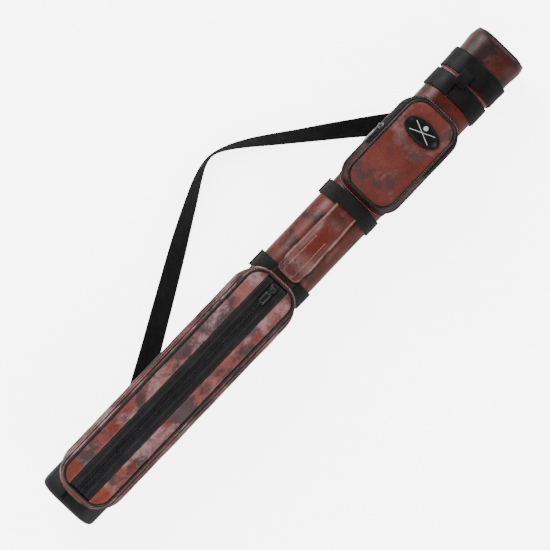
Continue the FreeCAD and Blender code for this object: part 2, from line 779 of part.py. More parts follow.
def disc(label, x, along, low, radius, height, bore=None):
    """A flat round piece facing +Z, with a hole through it if bore is given."""
    cells(label, radius=radius, high=height)
    item = doc.addObject("Part::Cylinder", label + "_disc")
    bind(item, "Radius", label + "_radius")
    bind(item, "Height", label + "_high")
    place(item, label, x, along, low)
    if bore:
        hole = disc(label + "_hole", x, along, low - past, bore, height + 2 * past)
        item = cut(item, hole, label + "_ring")
    return item


stud = doc.addObject("Part::Fuse", "stud_fuse")
stud.Base = disc("stud_foot", tab_x, stud_along, boot_top, 3.5, stud_disc)
stud.Tool = disc("stud_post", tab_x, stud_along, boot_top + stud_disc, 1.4, stud_post)
node(stud, "press_stud")
node(disc("socket", tab_x, stud_along, socket_low, 3.6, socket_high - socket_low, bore=1.8), "stud_socket")

# --- Zip sliders and pulls ---------------------------------------------------------------


def slider(label, coil_half, coil_high, wide, long, room=0.4, roof=1.2, pin_rise=2.1):
    """A slider over a coil, open below, with two ears and a pin for the pull.

    It is drawn with the coil's face at z 0, its length along Y and its pin at y 0.
    """
    skirt = 0.4
    roof_low = coil_high + 0.35
    roof_high = roof_low + roof
    pin_height = roof_high + pin_rise
    inside = coil_half + room
    ear_outer = 3.7
    ear_inner = 2.5
    ear_low = roof_high - 0.2
    ear_high = pin_height + 1.1
    pin_radius = 0.7
    body = new_body(label)
    sketch = sketch_on(body, "XZ_Plane", label + "_section")
    polygon(sketch, [(-wide / 2, skirt), (-inside, skirt), (-inside, roof_low), (inside, roof_low),
                     (inside, skirt), (wide / 2, skirt), (wide / 2, roof_high), (-wide / 2, roof_high)])
    cells(label, long=long, ear=3.0, ears=2 * ear_outer, pin=pin_radius)
    pad(body, sketch, label + "_channel", label + "_long", both_sides=True)
    ears = sketch_on(body, "XZ_Plane", label + "_ears_section")
    for left, right in ((-ear_outer, -ear_inner), (ear_inner, ear_outer)):
        polygon(ears, [(left, ear_low), (right, ear_low), (right, ear_high), (left, ear_high)])
    pad(body, ears, label + "_ears_pad", label + "_ear", both_sides=True)
    pin = sketch_on(body, "YZ_Plane", label + "_pin_section")
    circle = Part.Circle(FreeCAD.Vector(0, pin_height, 0), FreeCAD.Vector(0, 0, 1), pin_radius)
    pin_circle = pin.addGeometry(circle, False)
    named_size(pin, Sketcher.Constraint("Radius", pin_circle, pin_radius), "pin", label + "_pin")
    pad(body, pin, label + "_pin_pad", label + "_ears", both_sides=True)
    return body, pin_height


def pull(label, pin_height, wide, reach):
    """The pull: an eye round the slider's pin and a flat tongue lying towards -Y."""
    thick = 1.2
    neck_half = 2.2
    neck_in = 1.4
    neck_out = 9.0
    tongue_start = 7.0
    eye_outside = 1.7
    eye_hole = 0.95
    cells(label, eye=2 * neck_half, wide=wide, tongue=reach - tongue_start, thick=thick, bend=2.0)
    body = new_body(label)
    eye = sketch_on(body, "YZ_Plane", label + "_eye_section")
    for radius in (eye_outside, eye_hole):
        circle = Part.Circle(FreeCAD.Vector(0, pin_height, 0), FreeCAD.Vector(0, 0, 1), radius)
        eye.addGeometry(circle, False)
    pad(body, eye, label + "_eye_pad", label + "_eye", both_sides=True)
    neck = sketch_on(body, "XY_Plane", label + "_neck_outline")
    lift = FreeCAD.Vector(0, 0, pin_height - thick / 2)
    neck.AttachmentOffset = FreeCAD.Placement(lift, FreeCAD.Rotation())
    polygon(neck, [(-neck_half, -neck_in), (neck_half, -neck_in), (neck_half, -neck_out),
                   (-neck_half, -neck_out)])
    pad(body, neck, label + "_neck_pad", label + "_thick")
    tongue = sketch_on(body, "XY_Plane", label + "_tongue_outline")
    lift = FreeCAD.Vector(0, -(reach + tongue_start) / 2, pin_height - thick / 2)
    tongue.AttachmentOffset = FreeCAD.Placement(lift, FreeCAD.Rotation())
    outline(tongue, "edge", label + "_wide", label + "_tongue", label + "_bend")
    pad(body, tongue, label + "_tongue_pad", label + "_thick")
    return body


long_slider_along = 397.0
small_slider_along = 648.0
long_slider, long_pin = slider("long_zip_slider", coil_width / 2, coil_height, 10.0, 12.0)
long_pull = pull("long_zip_pull", long_pin, 9.0, 26.0)
for label, item in (("long_zip_slider", long_slider), ("long_zip_pull", long_pull)):
    place(item, label, 0.0, long_slider_along, coil_low)
    node(item, label)

coil_in_plane = small_coil_half / math.sin(zip_lean)
small_slider, small_pin = slider("small_zip_slider", coil_in_plane, small_coil_high, 8.8, 10.0,
                                room=1.1, roof=1.0, pin_rise=1.9)
small_pull = pull("small_zip_pull", small_pin, 6.5, 31.0)
wall_x = small_low[1] - (coil_middle - small_low[0]) / math.tan(zip_lean)
out_x = -math.sin(zip_lean)
out_z = math.cos(zip_lean)
off = small_tape_thick + 0.1
for label, item in (("small_zip_slider", small_slider), ("small_zip_pull", small_pull)):
    place(item, label, -wall_x + out_x * off, small_slider_along, coil_middle + out_z * off)
    item.Placement.Rotation = FreeCAD.Rotation(FreeCAD.Vector(0, 1, 0), -math.degrees(zip_lean))
    node(item, label)

# --- Check and write ---------------------------------------------------------------------

doc.recompute()
for item in doc.Objects:
    if "Invalid" in item.State or "Error" in item.State:
        raise RuntimeError(f"{item.Name} ({item.Label}) failed: {item.State}")
for item in nodes:
    shape = item.Shape
    if shape.isNull() or not shape.isValid() or shape.Volume <= 0:
        raise RuntimeError(f"{item.Label} has no valid shape")
    shape.exportStep(f"parts/{item.Label}.step")
    bounds = shape.BoundBox
    print(f"{item.Label:24s} solids {len(shape.Solids)} volume {shape.Volume:9.0f} "
          f"x {bounds.XMin:7.1f} {bounds.XMax:7.1f} y {bounds.YMin:7.1f} {bounds.YMax:7.1f} "
          f"z {bounds.ZMin:6.2f} {bounds.ZMax:6.2f}")
print("nodes", len(nodes))
print("long pin height", round(coil_low + long_pin, 2), "small zip lean", round(math.degrees(zip_lean), 2))
small_pin_x = PLACED["small_zip_slider_x"] + out_x * small_pin
small_pin_z = PLACED["small_zip_slider_z"] + out_z * small_pin
print("small pin at", round(small_pin_x, 3), round(small_pin_z, 3))
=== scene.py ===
import math

import bmesh
import bpy
import numpy as np
from mathutils import Matrix, Vector, noise


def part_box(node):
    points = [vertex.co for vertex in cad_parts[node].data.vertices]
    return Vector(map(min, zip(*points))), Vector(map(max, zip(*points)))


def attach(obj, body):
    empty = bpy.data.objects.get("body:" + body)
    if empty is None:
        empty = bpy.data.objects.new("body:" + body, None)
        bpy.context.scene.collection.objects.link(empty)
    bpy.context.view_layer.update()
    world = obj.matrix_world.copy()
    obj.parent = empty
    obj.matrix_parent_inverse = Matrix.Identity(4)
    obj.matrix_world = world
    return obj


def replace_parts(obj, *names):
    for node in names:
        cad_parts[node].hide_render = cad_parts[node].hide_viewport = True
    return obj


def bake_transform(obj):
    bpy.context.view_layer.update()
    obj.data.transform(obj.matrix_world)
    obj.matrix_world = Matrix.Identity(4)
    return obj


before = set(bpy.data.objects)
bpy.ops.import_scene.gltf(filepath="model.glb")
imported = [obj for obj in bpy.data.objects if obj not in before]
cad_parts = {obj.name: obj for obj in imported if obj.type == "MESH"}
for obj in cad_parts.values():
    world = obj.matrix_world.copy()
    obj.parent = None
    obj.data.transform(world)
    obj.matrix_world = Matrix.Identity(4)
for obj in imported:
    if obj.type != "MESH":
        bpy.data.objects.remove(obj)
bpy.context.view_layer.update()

# A cue case lying on its back: leatherette pieces, webbing, zips and a shoulder strap built
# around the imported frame. Lengths are in millimetres and turned into metres in make_mesh.
# "along" is the distance from the boot's end towards the lid.

MM = 0.001
CASE = "case_body"


def box_mm(node):
    """A frame node's lowest and highest corners in millimetres."""
    return [np.array(corner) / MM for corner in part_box(node)]


SKIN_LOW, SKIN_HIGH = box_mm("body_skin")
BOOT_LOW, BOOT_HIGH = box_mm("bottom_boot")
SIDE = SKIN_HIGH[0] - SKIN_LOW[0]
CENTRE = (SKIN_LOW[2] + SKIN_HIGH[2]) / 2
TOP = SKIN_HIGH[2]
BEND = 25.0
TRIM = (BOOT_HIGH[0] - BOOT_LOW[0] - SIDE) / 2
START = BOOT_LOW[1]


def span_of(node):
    """Where a frame node starts and ends along the case."""
    return tuple(corner[1] - START for corner in box_mm(node))


BOOT_END = span_of("bottom_boot")[1]
MOUTH = span_of("body_skin")[1]
COLLAR = span_of("collar_band")
LID_START, LID_END = span_of("lid_skin")
LID_BAND = span_of("lid_band")
BANDS = {name: span_of(name) for name in ("lower_band", "upper_band")}

# --- Camera, lights and floor ------------------------------------------------------------

CASE_TILT = math.radians(46.35)
SPAN = 0.7334
CAMERA_DISTANCE = 2.6
CAMERA_SIDE = -0.085
FRAME_SHIFT = (0.0117, -0.0002)


def add_object(name, data):
    made = bpy.data.objects.new(name, data)
    bpy.context.collection.objects.link(made)
    return made


def set_camera():
    """Looks straight down, turned so that the case runs from lower left to upper right."""
    right = Vector((math.sin(CASE_TILT), math.cos(CASE_TILT), 0.0))
    up = Vector((-math.cos(CASE_TILT), math.sin(CASE_TILT), 0.0))
    target = Vector((0.0, 0.0, CENTRE * MM)) - right * FRAME_SHIFT[0] - up * FRAME_SHIFT[1]
    place = target + Vector((CAMERA_SIDE, 0.0, CAMERA_DISTANCE))
    back = (place - target).normalized()
    right = (right - back * right.dot(back)).normalized()
    data = bpy.data.cameras.new("camera")
    data.sensor_width = 36.0
    data.lens = data.sensor_width * CAMERA_DISTANCE / SPAN
    data.clip_end = 20.0
    camera = add_object("camera", data)
    turned = Matrix((right, back.cross(right), back)).transposed().to_4x4()
    camera.matrix_world = Matrix.Translation(place) @ turned
    bpy.context.scene.camera = camera


def add_light(name, place, size, power, aim=(0, 0, 0.05)):
    data = bpy.data.lights.new(name, "AREA")
    data.shape = "RECTANGLE"
    data.size, data.size_y = size
    data.energy = power
    light = add_object(name, data)
    light.location = place
    light.rotation_euler = (Vector(aim) - Vector(place)).to_track_quat("-Z", "Y").to_euler()


def build_studio():
    """A bright wall all round under a dark ceiling, so that faces turned upwards mirror little."""
    world = bpy.data.worlds.new("studio")
    bpy.context.scene.world = world
    world.use_nodes = True
    tree = world.node_tree
    height = tree.nodes.new("ShaderNodeSeparateXYZ")
    tree.links.new(tree.nodes.new("ShaderNodeTexCoord").outputs["Generated"], height.inputs["Vector"])
    ceiling = tree.nodes.new("ShaderNodeValToRGB")
    tree.links.new(height.outputs["Z"], ceiling.inputs["Fac"])
    for element, position, grey in zip(ceiling.color_ramp.elements, (0.45, 0.85), (0.95, 0.1)):
        element.position = position
        element.color = (grey, grey, grey, 1)
    tree.links.new(ceiling.outputs["Color"], tree.nodes["Background"].inputs["Color"])


set_camera()
add_light("key", (-1.9, 0.6, 1.35), (0.8, 1.8), 90)
add_light("fill", (2.0, -0.6, 1.3), (0.9, 1.8), 46)
add_light("front", (-0.4, -2.1, 1.3), (1.8, 0.8), 34)
add_light("back", (0.5, 2.2, 1.3), (1.8, 0.8), 34)
build_studio()

# --- Materials ---------------------------------------------------------------------------

WHITE, BLACK = (255, 255, 255), (0, 0, 0)


def linear(colour):
    """An sRGB colour of 0 to 255 as linear red, green, blue, alpha."""
    shares = [channel / 255 for channel in colour]
    return (*(s / 12.92 if s <= 0.04045 else ((s + 0.055) / 1.055) ** 2.4 for s in shares), 1.0)


def shade(colour, share, plus=0):
    """A colour made darker or lighter."""
    return tuple(min(255, share * channel + plus) for channel in colour)


class Shader:
    """One material and short ways to add nodes to it."""

    def __init__(self, name):
        self.material = bpy.data.materials.new(name)
        self.material.use_nodes = True
        self.tree = self.material.node_tree

    def plug(self, node, inputs):
        """Links a node's inputs to sockets or sets them to values."""
        for key, value in inputs.items():
            if isinstance(value, bpy.types.NodeSocket):
                self.tree.links.new(value, node.inputs[key])
            else:
                node.inputs[key].default_value = value

    def add(self, kind, inputs=None, **settings):
        made = self.tree.nodes.new(kind)
        for key, value in settings.items():
            setattr(made, key, value)
        self.plug(made, inputs or {})
        return made

    def finish(self, inputs):
        """Sets the surface's inputs and gives the material."""
        self.plug(self.tree.nodes["Principled BSDF"], inputs)
        return self.material

    def place(self, scale=(1, 1, 1), offset=(0, 0, 0), source="Object"):
        """Coordinates in metres, or the metric UV map, scaled and moved."""
        if source == "UV":
            vector = self.add("ShaderNodeUVMap", uv_map="weave").outputs["UV"]
        else:
            vector = self.add("ShaderNodeTexCoord").outputs["Object"]
        mapping = self.add("ShaderNodeMapping", {"Vector": vector, "Scale": scale, "Location": offset})
        return mapping.outputs["Vector"]

    def noise(self, vector, scale, detail=4.0, roughness=0.55, distortion=0.0):
        inputs = {"Vector": vector, "Scale": scale, "Detail": detail, "Roughness": roughness,
                  "Distortion": distortion}
        return self.add("ShaderNodeTexNoise", inputs).outputs["Fac"]

    def pebbles(self, scale):
        inputs = {"Vector": self.place(), "Scale": scale}
        return self.add("ShaderNodeTexVoronoi", inputs, feature="SMOOTH_F1").outputs["Distance"]

    def ramp(self, source, *stops):
        made = self.add("ShaderNodeValToRGB", {"Fac": source})
        elements = made.color_ramp.elements
        while len(elements) < len(stops):
            elements.new(0.5)
        for element, (position, colour) in zip(elements, stops):
            element.position = position
            element.color = linear(colour)
        return made.outputs["Color"]

    def spread(self, value, start, end, low=0.0, high=1.0):
        """A value's range from start to end stretched over low to high."""
        inputs = {"Value": value, "From Min": start, "From Max": end, "To Min": low, "To Max": high}
        return self.add("ShaderNodeMapRange", inputs).outputs["Result"]

    def mix(self, share, first, second, blend="MIX"):
        inputs = {0: share, 6: first, 7: second}
        return self.add("ShaderNodeMix", inputs, data_type="RGBA", blend_type=blend).outputs[2]

    def times(self, value, factor):
        return self.add("ShaderNodeMath", {0: value, 1: factor}, operation="MULTIPLY").outputs[0]

    def bump(self, height, strength, distance, normal=None):
        inputs = {"Height": height, "Strength": strength, "Distance": distance}
        if normal is not None:
            inputs["Normal"] = normal
        return self.add("ShaderNodeBump", inputs).outputs["Normal"]


# Ground deep, middle and warm, then the dark and the pale patches.
TONES = {
    "body": [(62, 22, 16), (84, 31, 22), (100, 41, 31), (33, 20, 18), (112, 66, 60)],
    "upper": [(66, 26, 21), (86, 33, 27), (101, 42, 33), (36, 24, 22), (94, 52, 47)],
    "lid": [(50, 20, 16), (66, 25, 20), (82, 32, 25), (25, 17, 16), (78, 42, 39)],
    "panel": [(98, 44, 38), (112, 62, 58), (124, 78, 77), (50, 42, 43), (138, 110, 113)],
    "panel_end": [(100, 47, 35), (109, 52, 39), (115, 58, 44), (94, 45, 35), (111, 60, 50)],
    "small": [(80, 36, 30), (93, 44, 37), (103, 54, 48), (54, 41, 42), (114, 79, 80)],
    "handle": [(60, 22, 15), (76, 26, 18), (88, 36, 28), (36, 24, 22), (104, 70, 69)],
    # The rim tones are also the lighter tones of the handle's end nearest the boot: a painted reflection.
    "rim": [(78, 42, 38), (96, 55, 51), (110, 72, 70), (40, 30, 30), (132, 104, 104)],
    "gusset": [(80, 43, 39), (102, 61, 58), (120, 82, 80), (36, 27, 27), (142, 118, 118)],
    "small_gusset": [(30, 14, 13), (42, 19, 17), (54, 26, 23), (17, 13, 13), (60, 38, 37)],
    "piping": [(18, 12, 12), (24, 16, 15), (31, 20, 18), (13, 10, 10), (46, 34, 33)],
    "edge": [(92, 48, 50), (108, 60, 62), (122, 74, 76), (80, 42, 44), (138, 98, 100)],
}


def leather(name, offset, far=None, fade=None, dark_end=None, dark=0.57, pale=0.57, patch=33, blur=0.0,
            gloss=0.4, shine=0.22):
    """Marbled leatherette: a warm ground with ragged dark and pale patches over a pebbled grain.

    The tones of far take over between the two places of fade in Y, and dark_end is two places in Y
    that it darkens between. dark and pale are the noise levels that the patches start at, patch is
    how fine the dark ones are and blur how soft their edges are.
    """
    made = Shader(name + "_leather")
    place = made.place((1, 0.75, 1), offset)
    apart = made.place((1, 0.75, 1), tuple(7.3 + part for part in offset))
    ground = made.noise(place, 17, 5.0, 0.6)
    ragged = made.noise(place, patch, 8.0, 0.72, 0.2)
    soft = made.noise(apart, 24, 6.0, 0.62, 0.3)
    dark_mask = made.ramp(ragged, (dark - 0.02 - blur, BLACK), (dark + 0.035 + blur, WHITE))
    pale_mask = made.ramp(soft, (pale - 0.04, BLACK), (pale + 0.07, WHITE))

    def cloth(key):
        deep, middle, warm, dark_tone, pale_tone = TONES[key]
        base = made.ramp(ground, (0.36, deep), (0.5, middle), (0.66, warm))
        base = made.mix(made.times(pale_mask, 0.8), base, linear(pale_tone))
        return made.mix(made.times(dark_mask, 0.85), base, linear(dark_tone))

    colour = cloth(name)
    along = made.add("ShaderNodeSeparateXYZ", {"Vector": made.place()}).outputs["Y"]
    if far:
        colour = made.mix(made.spread(along, *fade), colour, cloth(far))
    if dark_end:
        colour = made.mix(made.spread(along, *dark_end, high=0.8), colour, linear((26, 18, 18)))
    fine = made.noise(made.place(), 420, 4.0, 0.7)
    colour = made.mix(0.5, colour, made.ramp(fine, (0.3, (178, 170, 168)), (0.62, WHITE)), "MULTIPLY")
    pebble = made.pebbles(850.0)
    worn = made.ramp(pebble, (0.25, WHITE), (0.8, (205, 198, 196)))
    return made.finish({
        "Base Color": made.mix(0.35, colour, worn, "MULTIPLY"),
        "Roughness": made.spread(ragged, 0.3, 0.7, gloss - 0.05, gloss + 0.12),
        "Specular IOR Level": shine,
        "Normal": made.bump(fine, 0.3, 0.0002, made.bump(pebble, 0.35, 0.0003)),
    })


def vinyl(name, colour, gloss=0.5, shine=0.1):
    """Plain dark grained vinyl with slightly worn high spots."""
    made = Shader(name)
    pebble = made.pebbles(900.0)
    patch = made.noise(made.place(), 40)
    low, high = shade(colour, 0.8), shade(colour, 1.3, 5)
    return made.finish({
        "Base Color": made.mix(0.3, made.ramp(patch, (0.35, low), (0.65, high)),
                               made.ramp(pebble, (0.2, high), (0.7, low))),
        "Roughness": made.spread(patch, 0.3, 0.7, gloss - 0.06, gloss + 0.08),
        "Specular IOR Level": shine,
        "Normal": made.bump(pebble, 0.3, 0.00025),
    })


def woven(name, colour, rib=1.3, strength=0.6, source="UV"):
    """Webbing: short ribs across the run, offset row by row, rib millimetres apart."""
    made = Shader(name)
    scale = 1.0 / rib if source == "UV" else 1.0 / rib / MM
    place = made.place((scale, scale, scale), source=source)
    rows = {"Vector": place, "Color1": linear(WHITE), "Color2": (0.82, 0.82, 0.82, 1),
            "Mortar": (0.1, 0.1, 0.1, 1), "Scale": 1.0, "Mortar Size": 0.12, "Mortar Smooth": 0.8,
            "Brick Width": 1.6, "Row Height": 0.8}
    brick = made.add("ShaderNodeTexBrick", rows).outputs["Color"]
    thread = made.add("ShaderNodeTexWave", {"Vector": place, "Scale": 2.2, "Distortion": 0.6},
                      wave_type="BANDS", bands_direction="X").outputs["Fac"]
    base = made.ramp(made.noise(made.place(), 55, 3.0), (0.35, shade(colour, 0.72)),
                     (0.65, shade(colour, 1.25, 4)))
    return made.finish({
        "Base Color": made.mix(0.6, base, brick, "MULTIPLY"),
        "Roughness": 0.78,
        "Specular IOR Level": 0.15,
        "Sheen Weight": 0.06,
        "Sheen Roughness": 0.5,
        "Normal": made.bump(thread, 0.2, 0.0002, made.bump(brick, strength, 0.0004)),
    })


def metal(name, colour, gloss, metallic=1.0):
    """Plated or enamelled metal with faint scratches and uneven polish."""
    made = Shader(name)
    streak = made.noise(made.place((1, 8, 1)), 600, 3.0)
    cloud = made.noise(made.place(), 120, 3.0)
    return made.finish({
        "Base Color": made.ramp(cloud, (0.3, shade(colour, 0.75)), (0.6, colour)),
        "Roughness": made.spread(streak, 0.3, 0.7, gloss - 0.08, gloss + 0.12),
        "Metallic": metallic,
        "Normal": made.bump(streak, 0.15, 0.00008),
    })


def thread(name, colour):
    """Twisted sewing thread."""
    made = Shader(name)
    twist = made.add("ShaderNodeTexWave", {"Vector": made.place(), "Scale": 900.0, "Distortion": 1.0},
                     bands_direction="DIAGONAL").outputs["Fac"]
    return made.finish({
        "Base Color": made.ramp(twist, (0.2, shade(colour, 0.7)), (0.7, colour)),
        "Roughness": 0.7,
        "Normal": made.bump(twist, 0.4, 0.0001),
    })


def foam(name, colour):
    """Dense foam with fine cells."""
    made = Shader(name)
    cells = made.noise(made.place(), 1400, 4.0, 0.7)
    patch = made.noise(made.place(), 60, 2.0)
    low = shade(colour, 0.75)
    return made.finish({
        "Base Color": made.mix(0.5, made.ramp(cells, (0.35, low), (0.6, colour)),
                               made.ramp(patch, (0.3, low), (0.7, colour))),
        "Roughness": 0.9,
        "Normal": made.bump(cells, 0.5, 0.0003),
    })


def moulded(name, colour, gloss=0.45, shine=0.22):
    """Moulded plastic or rubber with a fine uneven surface."""
    made = Shader(name)
    texture = made.noise(made.place(), 900, 3.0)
    patch = made.noise(made.place(), 30, 2.0)
    return made.finish({
        "Base Color": made.ramp(patch, (0.3, shade(colour, 0.82)), (0.7, colour)),
        "Roughness": made.spread(texture, 0.3, 0.7, gloss - 0.07, gloss + 0.1),
        "Specular IOR Level": shine,
        "Normal": made.bump(texture, 0.25, 0.0001),
    })


body_leather = leather("body", (0.3, 0.1, 0.2), "upper", (0.255, 0.300), dark=0.535, pale=0.6, gloss=0.36,
                       shine=0.19)
lid_leather = leather("lid", (0.7, 0.9, 0.1), dark_end=(0.402, 0.418), dark=0.51)
panel_leather = leather("panel", (1.3, 0.4, 0.8), "panel_end", (-0.356, -0.364), dark=0.51, pale=0.535,
                        patch=24, blur=0.015)
small_leather = leather("small", (2.1, 0.2, 0.5), dark=0.535, patch=19, blur=0.03)
# Towards the end nearest the boot the handle's tones fade into the lighter rim tones: a painted reflection on
# the end that rises off the case.
handle_leather = leather("handle", (3.2, 1.7, 0.4), "rim", (0.048, 0.026), dark=0.545, pale=0.56)
rim_leather = leather("rim", (2.2, 0.7, 1.4), dark=0.54, pale=0.55)
gusset_leather = leather("gusset", (4.4, 0.6, 1.1), dark=0.52, pale=0.54, gloss=0.5, shine=0.12)
small_gusset_leather = leather("small_gusset", (5.4, 1.6, 2.1), dark=0.54, gloss=0.5, shine=0.1)
piping_leather = leather("piping", (0.5, 0.5, 0.5))
edge_leather = leather("edge", (6.1, 0.4, 2.7), gloss=0.5)
black_vinyl = vinyl("black_vinyl", (25, 24, 25))
collar_vinyl = vinyl("collar_vinyl", (11, 10, 11))
# Near-black vinyl, darker than the boot: painted shade of the boot's seams.
seam_shade_vinyl = vinyl("seam_shade_vinyl", (5, 5, 6), gloss=0.42, shine=0.16)
flap_vinyl = vinyl("flap_vinyl", (20, 19, 19), gloss=0.56)
band_webbing = woven("band_webbing", (15, 13, 13))
strap_webbing = woven("strap_webbing", (14, 14, 15), rib=1.5)
zip_fabric = woven("zip_fabric", (17, 17, 20), rib=0.7, strength=0.4)
binding_fabric = woven("binding_fabric", (20, 19, 20), rib=0.9, source="Object")
coil_plastic = moulded("coil_plastic", (17, 17, 20), gloss=0.4)
bright_metal = metal("bright_metal", (100, 100, 103), gloss=0.34)
black_enamel = metal("black_enamel", (24, 24, 27), gloss=0.32, metallic=0.3)
brass_plate = metal("brass_plate", (176, 150, 92), gloss=0.3)
light_thread = thread("light_thread", (168, 128, 118))
dark_thread = thread("dark_thread", (40, 30, 29))
grey_foam = foam("grey_foam", (40, 40, 43))
case_board = moulded("case_board", (46, 46, 49))
tube_plastic = moulded("tube_plastic", (30, 30, 32), gloss=0.5)
badge_rubber = moulded("badge_rubber", (13, 14, 15), shine=0.1)
badge_inlay = moulded("badge_inlay", (176, 178, 180), gloss=0.35)

# --- Mesh building -----------------------------------------------------------------------


def unit(vectors):
    """Each vector of an array at length 1."""
    return vectors / np.linalg.norm(vectors, axis=-1, keepdims=True)


def run_of(points):
    """How far along a polyline each of its points is."""
    return np.concatenate([[0], np.linalg.norm(np.diff(points, axis=0), axis=1).cumsum()])


def sample(wanted, run, rows):
    """Rows of values read off at the wanted places of a run."""
    return np.stack([np.interp(wanted, run, column) for column in np.asarray(rows, float).T], axis=-1)


def smoothed(points, times):
    """Points pulled towards their neighbours, with the ends kept."""
    for _ in range(times):
        points[1:-1] = (points[:-2] + 2 * points[1:-1] + points[2:]) / 4
    return points


def fade_in(value, end):
    """0 at nothing, 1 from end on."""
    return min(1.0, max(0.0, value / end))


def soft_noise(point, size, seed=0.0):
    """Smooth noise of about -1 to 1 whose lumps are size millimetres wide."""
    return noise.noise(Vector((point[0] / size + seed, point[1] / size + 2 * seed, point[2] / size - seed)))


def make_mesh(name, points, faces, material, body=CASE, uvs=None, smooth=True, merged=False):
    """A new piece from points in millimetres; it rides on a body. merged joins points that meet."""
    mesh = bpy.data.meshes.new(name)
    mesh.from_pydata((np.asarray(points, float) * MM).tolist(), [], faces)
    if uvs is not None:
        layer = mesh.uv_layers.new(name="weave")
        corners = np.zeros(len(mesh.loops), int)
        mesh.loops.foreach_get("vertex_index", corners)
        layer.data.foreach_set("uv", uvs[corners].ravel())
    work = bmesh.new()
    work.from_mesh(mesh)
    if merged:
        bmesh.ops.remove_doubles(work, verts=work.verts, dist=1e-6)
    bmesh.ops.recalc_face_normals(work, faces=work.faces)
    work.to_mesh(mesh)
    work.free()
    mesh.polygons.foreach_set("use_smooth", [smooth] * len(mesh.polygons))
    mesh.materials.append(material)
    piece = add_object(name, mesh)
    if body:
        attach(piece, body)
    return piece


def tube_faces(count, width, base=0, ring=False, caps=True):
    """Quads over closed rows of points. ring joins the last row to the first, caps fills both ends."""
    faces = []
    for i in range(count if ring else count - 1):
        row, after = base + i * width, base + (i + 1) % count * width
        for j in range(width):
            beside = (j + 1) % width
            faces.append((row + j, row + beside, after + beside, after + j))
    if caps:
        faces.append(tuple(range(base, base + width))[::-1])
        faces.append(tuple(range(base + (count - 1) * width, base + count * width)))
    return faces


def rows_to_mesh(name, rows, material, body=CASE, ring=False, caps=False, merged=False):
    """A piece of closed rows of points, with a UV map of the distances round and along them."""
    rows = np.asarray(rows, float)
    faces = tube_faces(*rows.shape[:2], ring=ring, caps=caps)
    across = np.linalg.norm(np.diff(rows, axis=1, prepend=rows[:, :1]), axis=2).cumsum(axis=1)
    down = np.linalg.norm(np.diff(rows, axis=0, prepend=rows[:1]), axis=2).cumsum(axis=0)
    uvs = np.stack([across.ravel(), down.ravel()], axis=1)
    return make_mesh(name, rows.reshape(-1, 3), faces, material, body, uvs, merged=merged)


def rounded_outline(half_a, half_b, bend, corner=10, side_a=8, side_b=8):
    """Points and outward normals round a rounded rectangle, from the middle of its +b side."""
    a_flat, b_flat = half_a - bend, half_b - bend
    points, normals = [], []

    def run(start, end, normal, steps):
        for step in range(steps):
            points.append([start[k] + (end[k] - start[k]) * step / steps for k in (0, 1)])
            normals.append(normal)

    def turn(centre, first):
        for step in range(corner):
            angle = math.radians(first - 90 * step / corner)
            normal = (math.cos(angle), math.sin(angle))
            points.append([centre[k] + bend * normal[k] for k in (0, 1)])
            normals.append(normal)

    run((0, half_b), (a_flat, half_b), (0, 1), side_a)
    turn((a_flat, b_flat), 90)
    run((half_a, b_flat), (half_a, -b_flat), (1, 0), 2 * side_b)
    turn((a_flat, -b_flat), 0)
    run((a_flat, -half_b), (-a_flat, -half_b), (0, -1), 2 * side_a)
    turn((-a_flat, -b_flat), -90)
    run((-half_a, -b_flat), (-half_a, b_flat), (-1, 0), 2 * side_b)
    turn((-a_flat, b_flat), 180)
    run((-a_flat, half_b), (0, half_b), (0, 1), side_a)
    return np.array(points), np.array(normals)


SECTION, SECTION_NORMALS = rounded_outline(SIDE / 2, SIDE / 2, BEND, 12, 10, 10)


def sleeve(name, profile, material, body=CASE, bow=lambda x, z: 0.0, lumps=0.0, gap=None):
    """A closed profile of (outward offset, along) swept round the case's section.

    bow moves it along the case, and gap is the middle and the width of a slit in its top.
    """
    outline, normals = SECTION, SECTION_NORMALS
    if gap:
        middle, wide = gap
        first = int(np.argmin(np.where(outline[:, 1] > 0, abs(outline[:, 0] - middle), 999)))
        outline, normals = np.roll(outline, -first, axis=0), np.roll(normals, -first, axis=0)
        ends = [[middle + side * wide / 2, outline[0, 1]] for side in (1, -1)]
        outline = np.vstack([ends[:1], outline[1:], ends[1:]])
        normals = np.vstack([normals, normals[:1]])
    rows = []
    for point, normal in zip(outline, normals):
        row = []
        for out, along in profile:
            x, z = point + normal * out + (0, CENTRE)
            y = START + along + bow(x, z)
            push = lumps * soft_noise((x, y, z), 34.0, 1.3)
            row.append((x + normal[0] * push, y, z + normal[1] * push))
        rows.append(row)
    return rows_to_mesh(name, rows, material, body, ring=not gap, caps=bool(gap))


def capped_sleeve(name, outer, thickness, material, body=CASE, lumps=0.0):
    """A sleeve closed at one end; outer is (offset, along) from that end's edge to the open rim.

    thickness is that of the closed end, negative where the inside lies towards the boot.
    """
    def ring(out, along, share=1.0):
        return [(x, START + along, CENTRE + z) for x, z in (SECTION + SECTION_NORMALS * out) * share]

    rows = [ring(*outer[0], share) for share in (0.0, 0.35, 0.7, 0.9)]
    for out, along in outer:
        row = np.array(ring(out, along))
        pushes = np.array([lumps * soft_noise(point, 30.0, 4.2) for point in row])
        row[:, [0, 2]] += SECTION_NORMALS * pushes[:, None]
        rows.append(row)
    rows.append(ring(0.0, outer[-1][1]))
    rows += [ring(-0.1, outer[0][1] + thickness, share) for share in (1.0, 0.5, 0.0)]
    return rows_to_mesh(name, rows, material, body, merged=True)


def arc(out, along, bend, way, steps):
    """A quarter turn of (offset, along) points that ends at the greatest offset."""
    angles = [math.radians(90 * step / steps) for step in range(steps + 1)]
    return [(out + bend * math.sin(angle), along + way * bend * math.cos(angle)) for angle in angles]


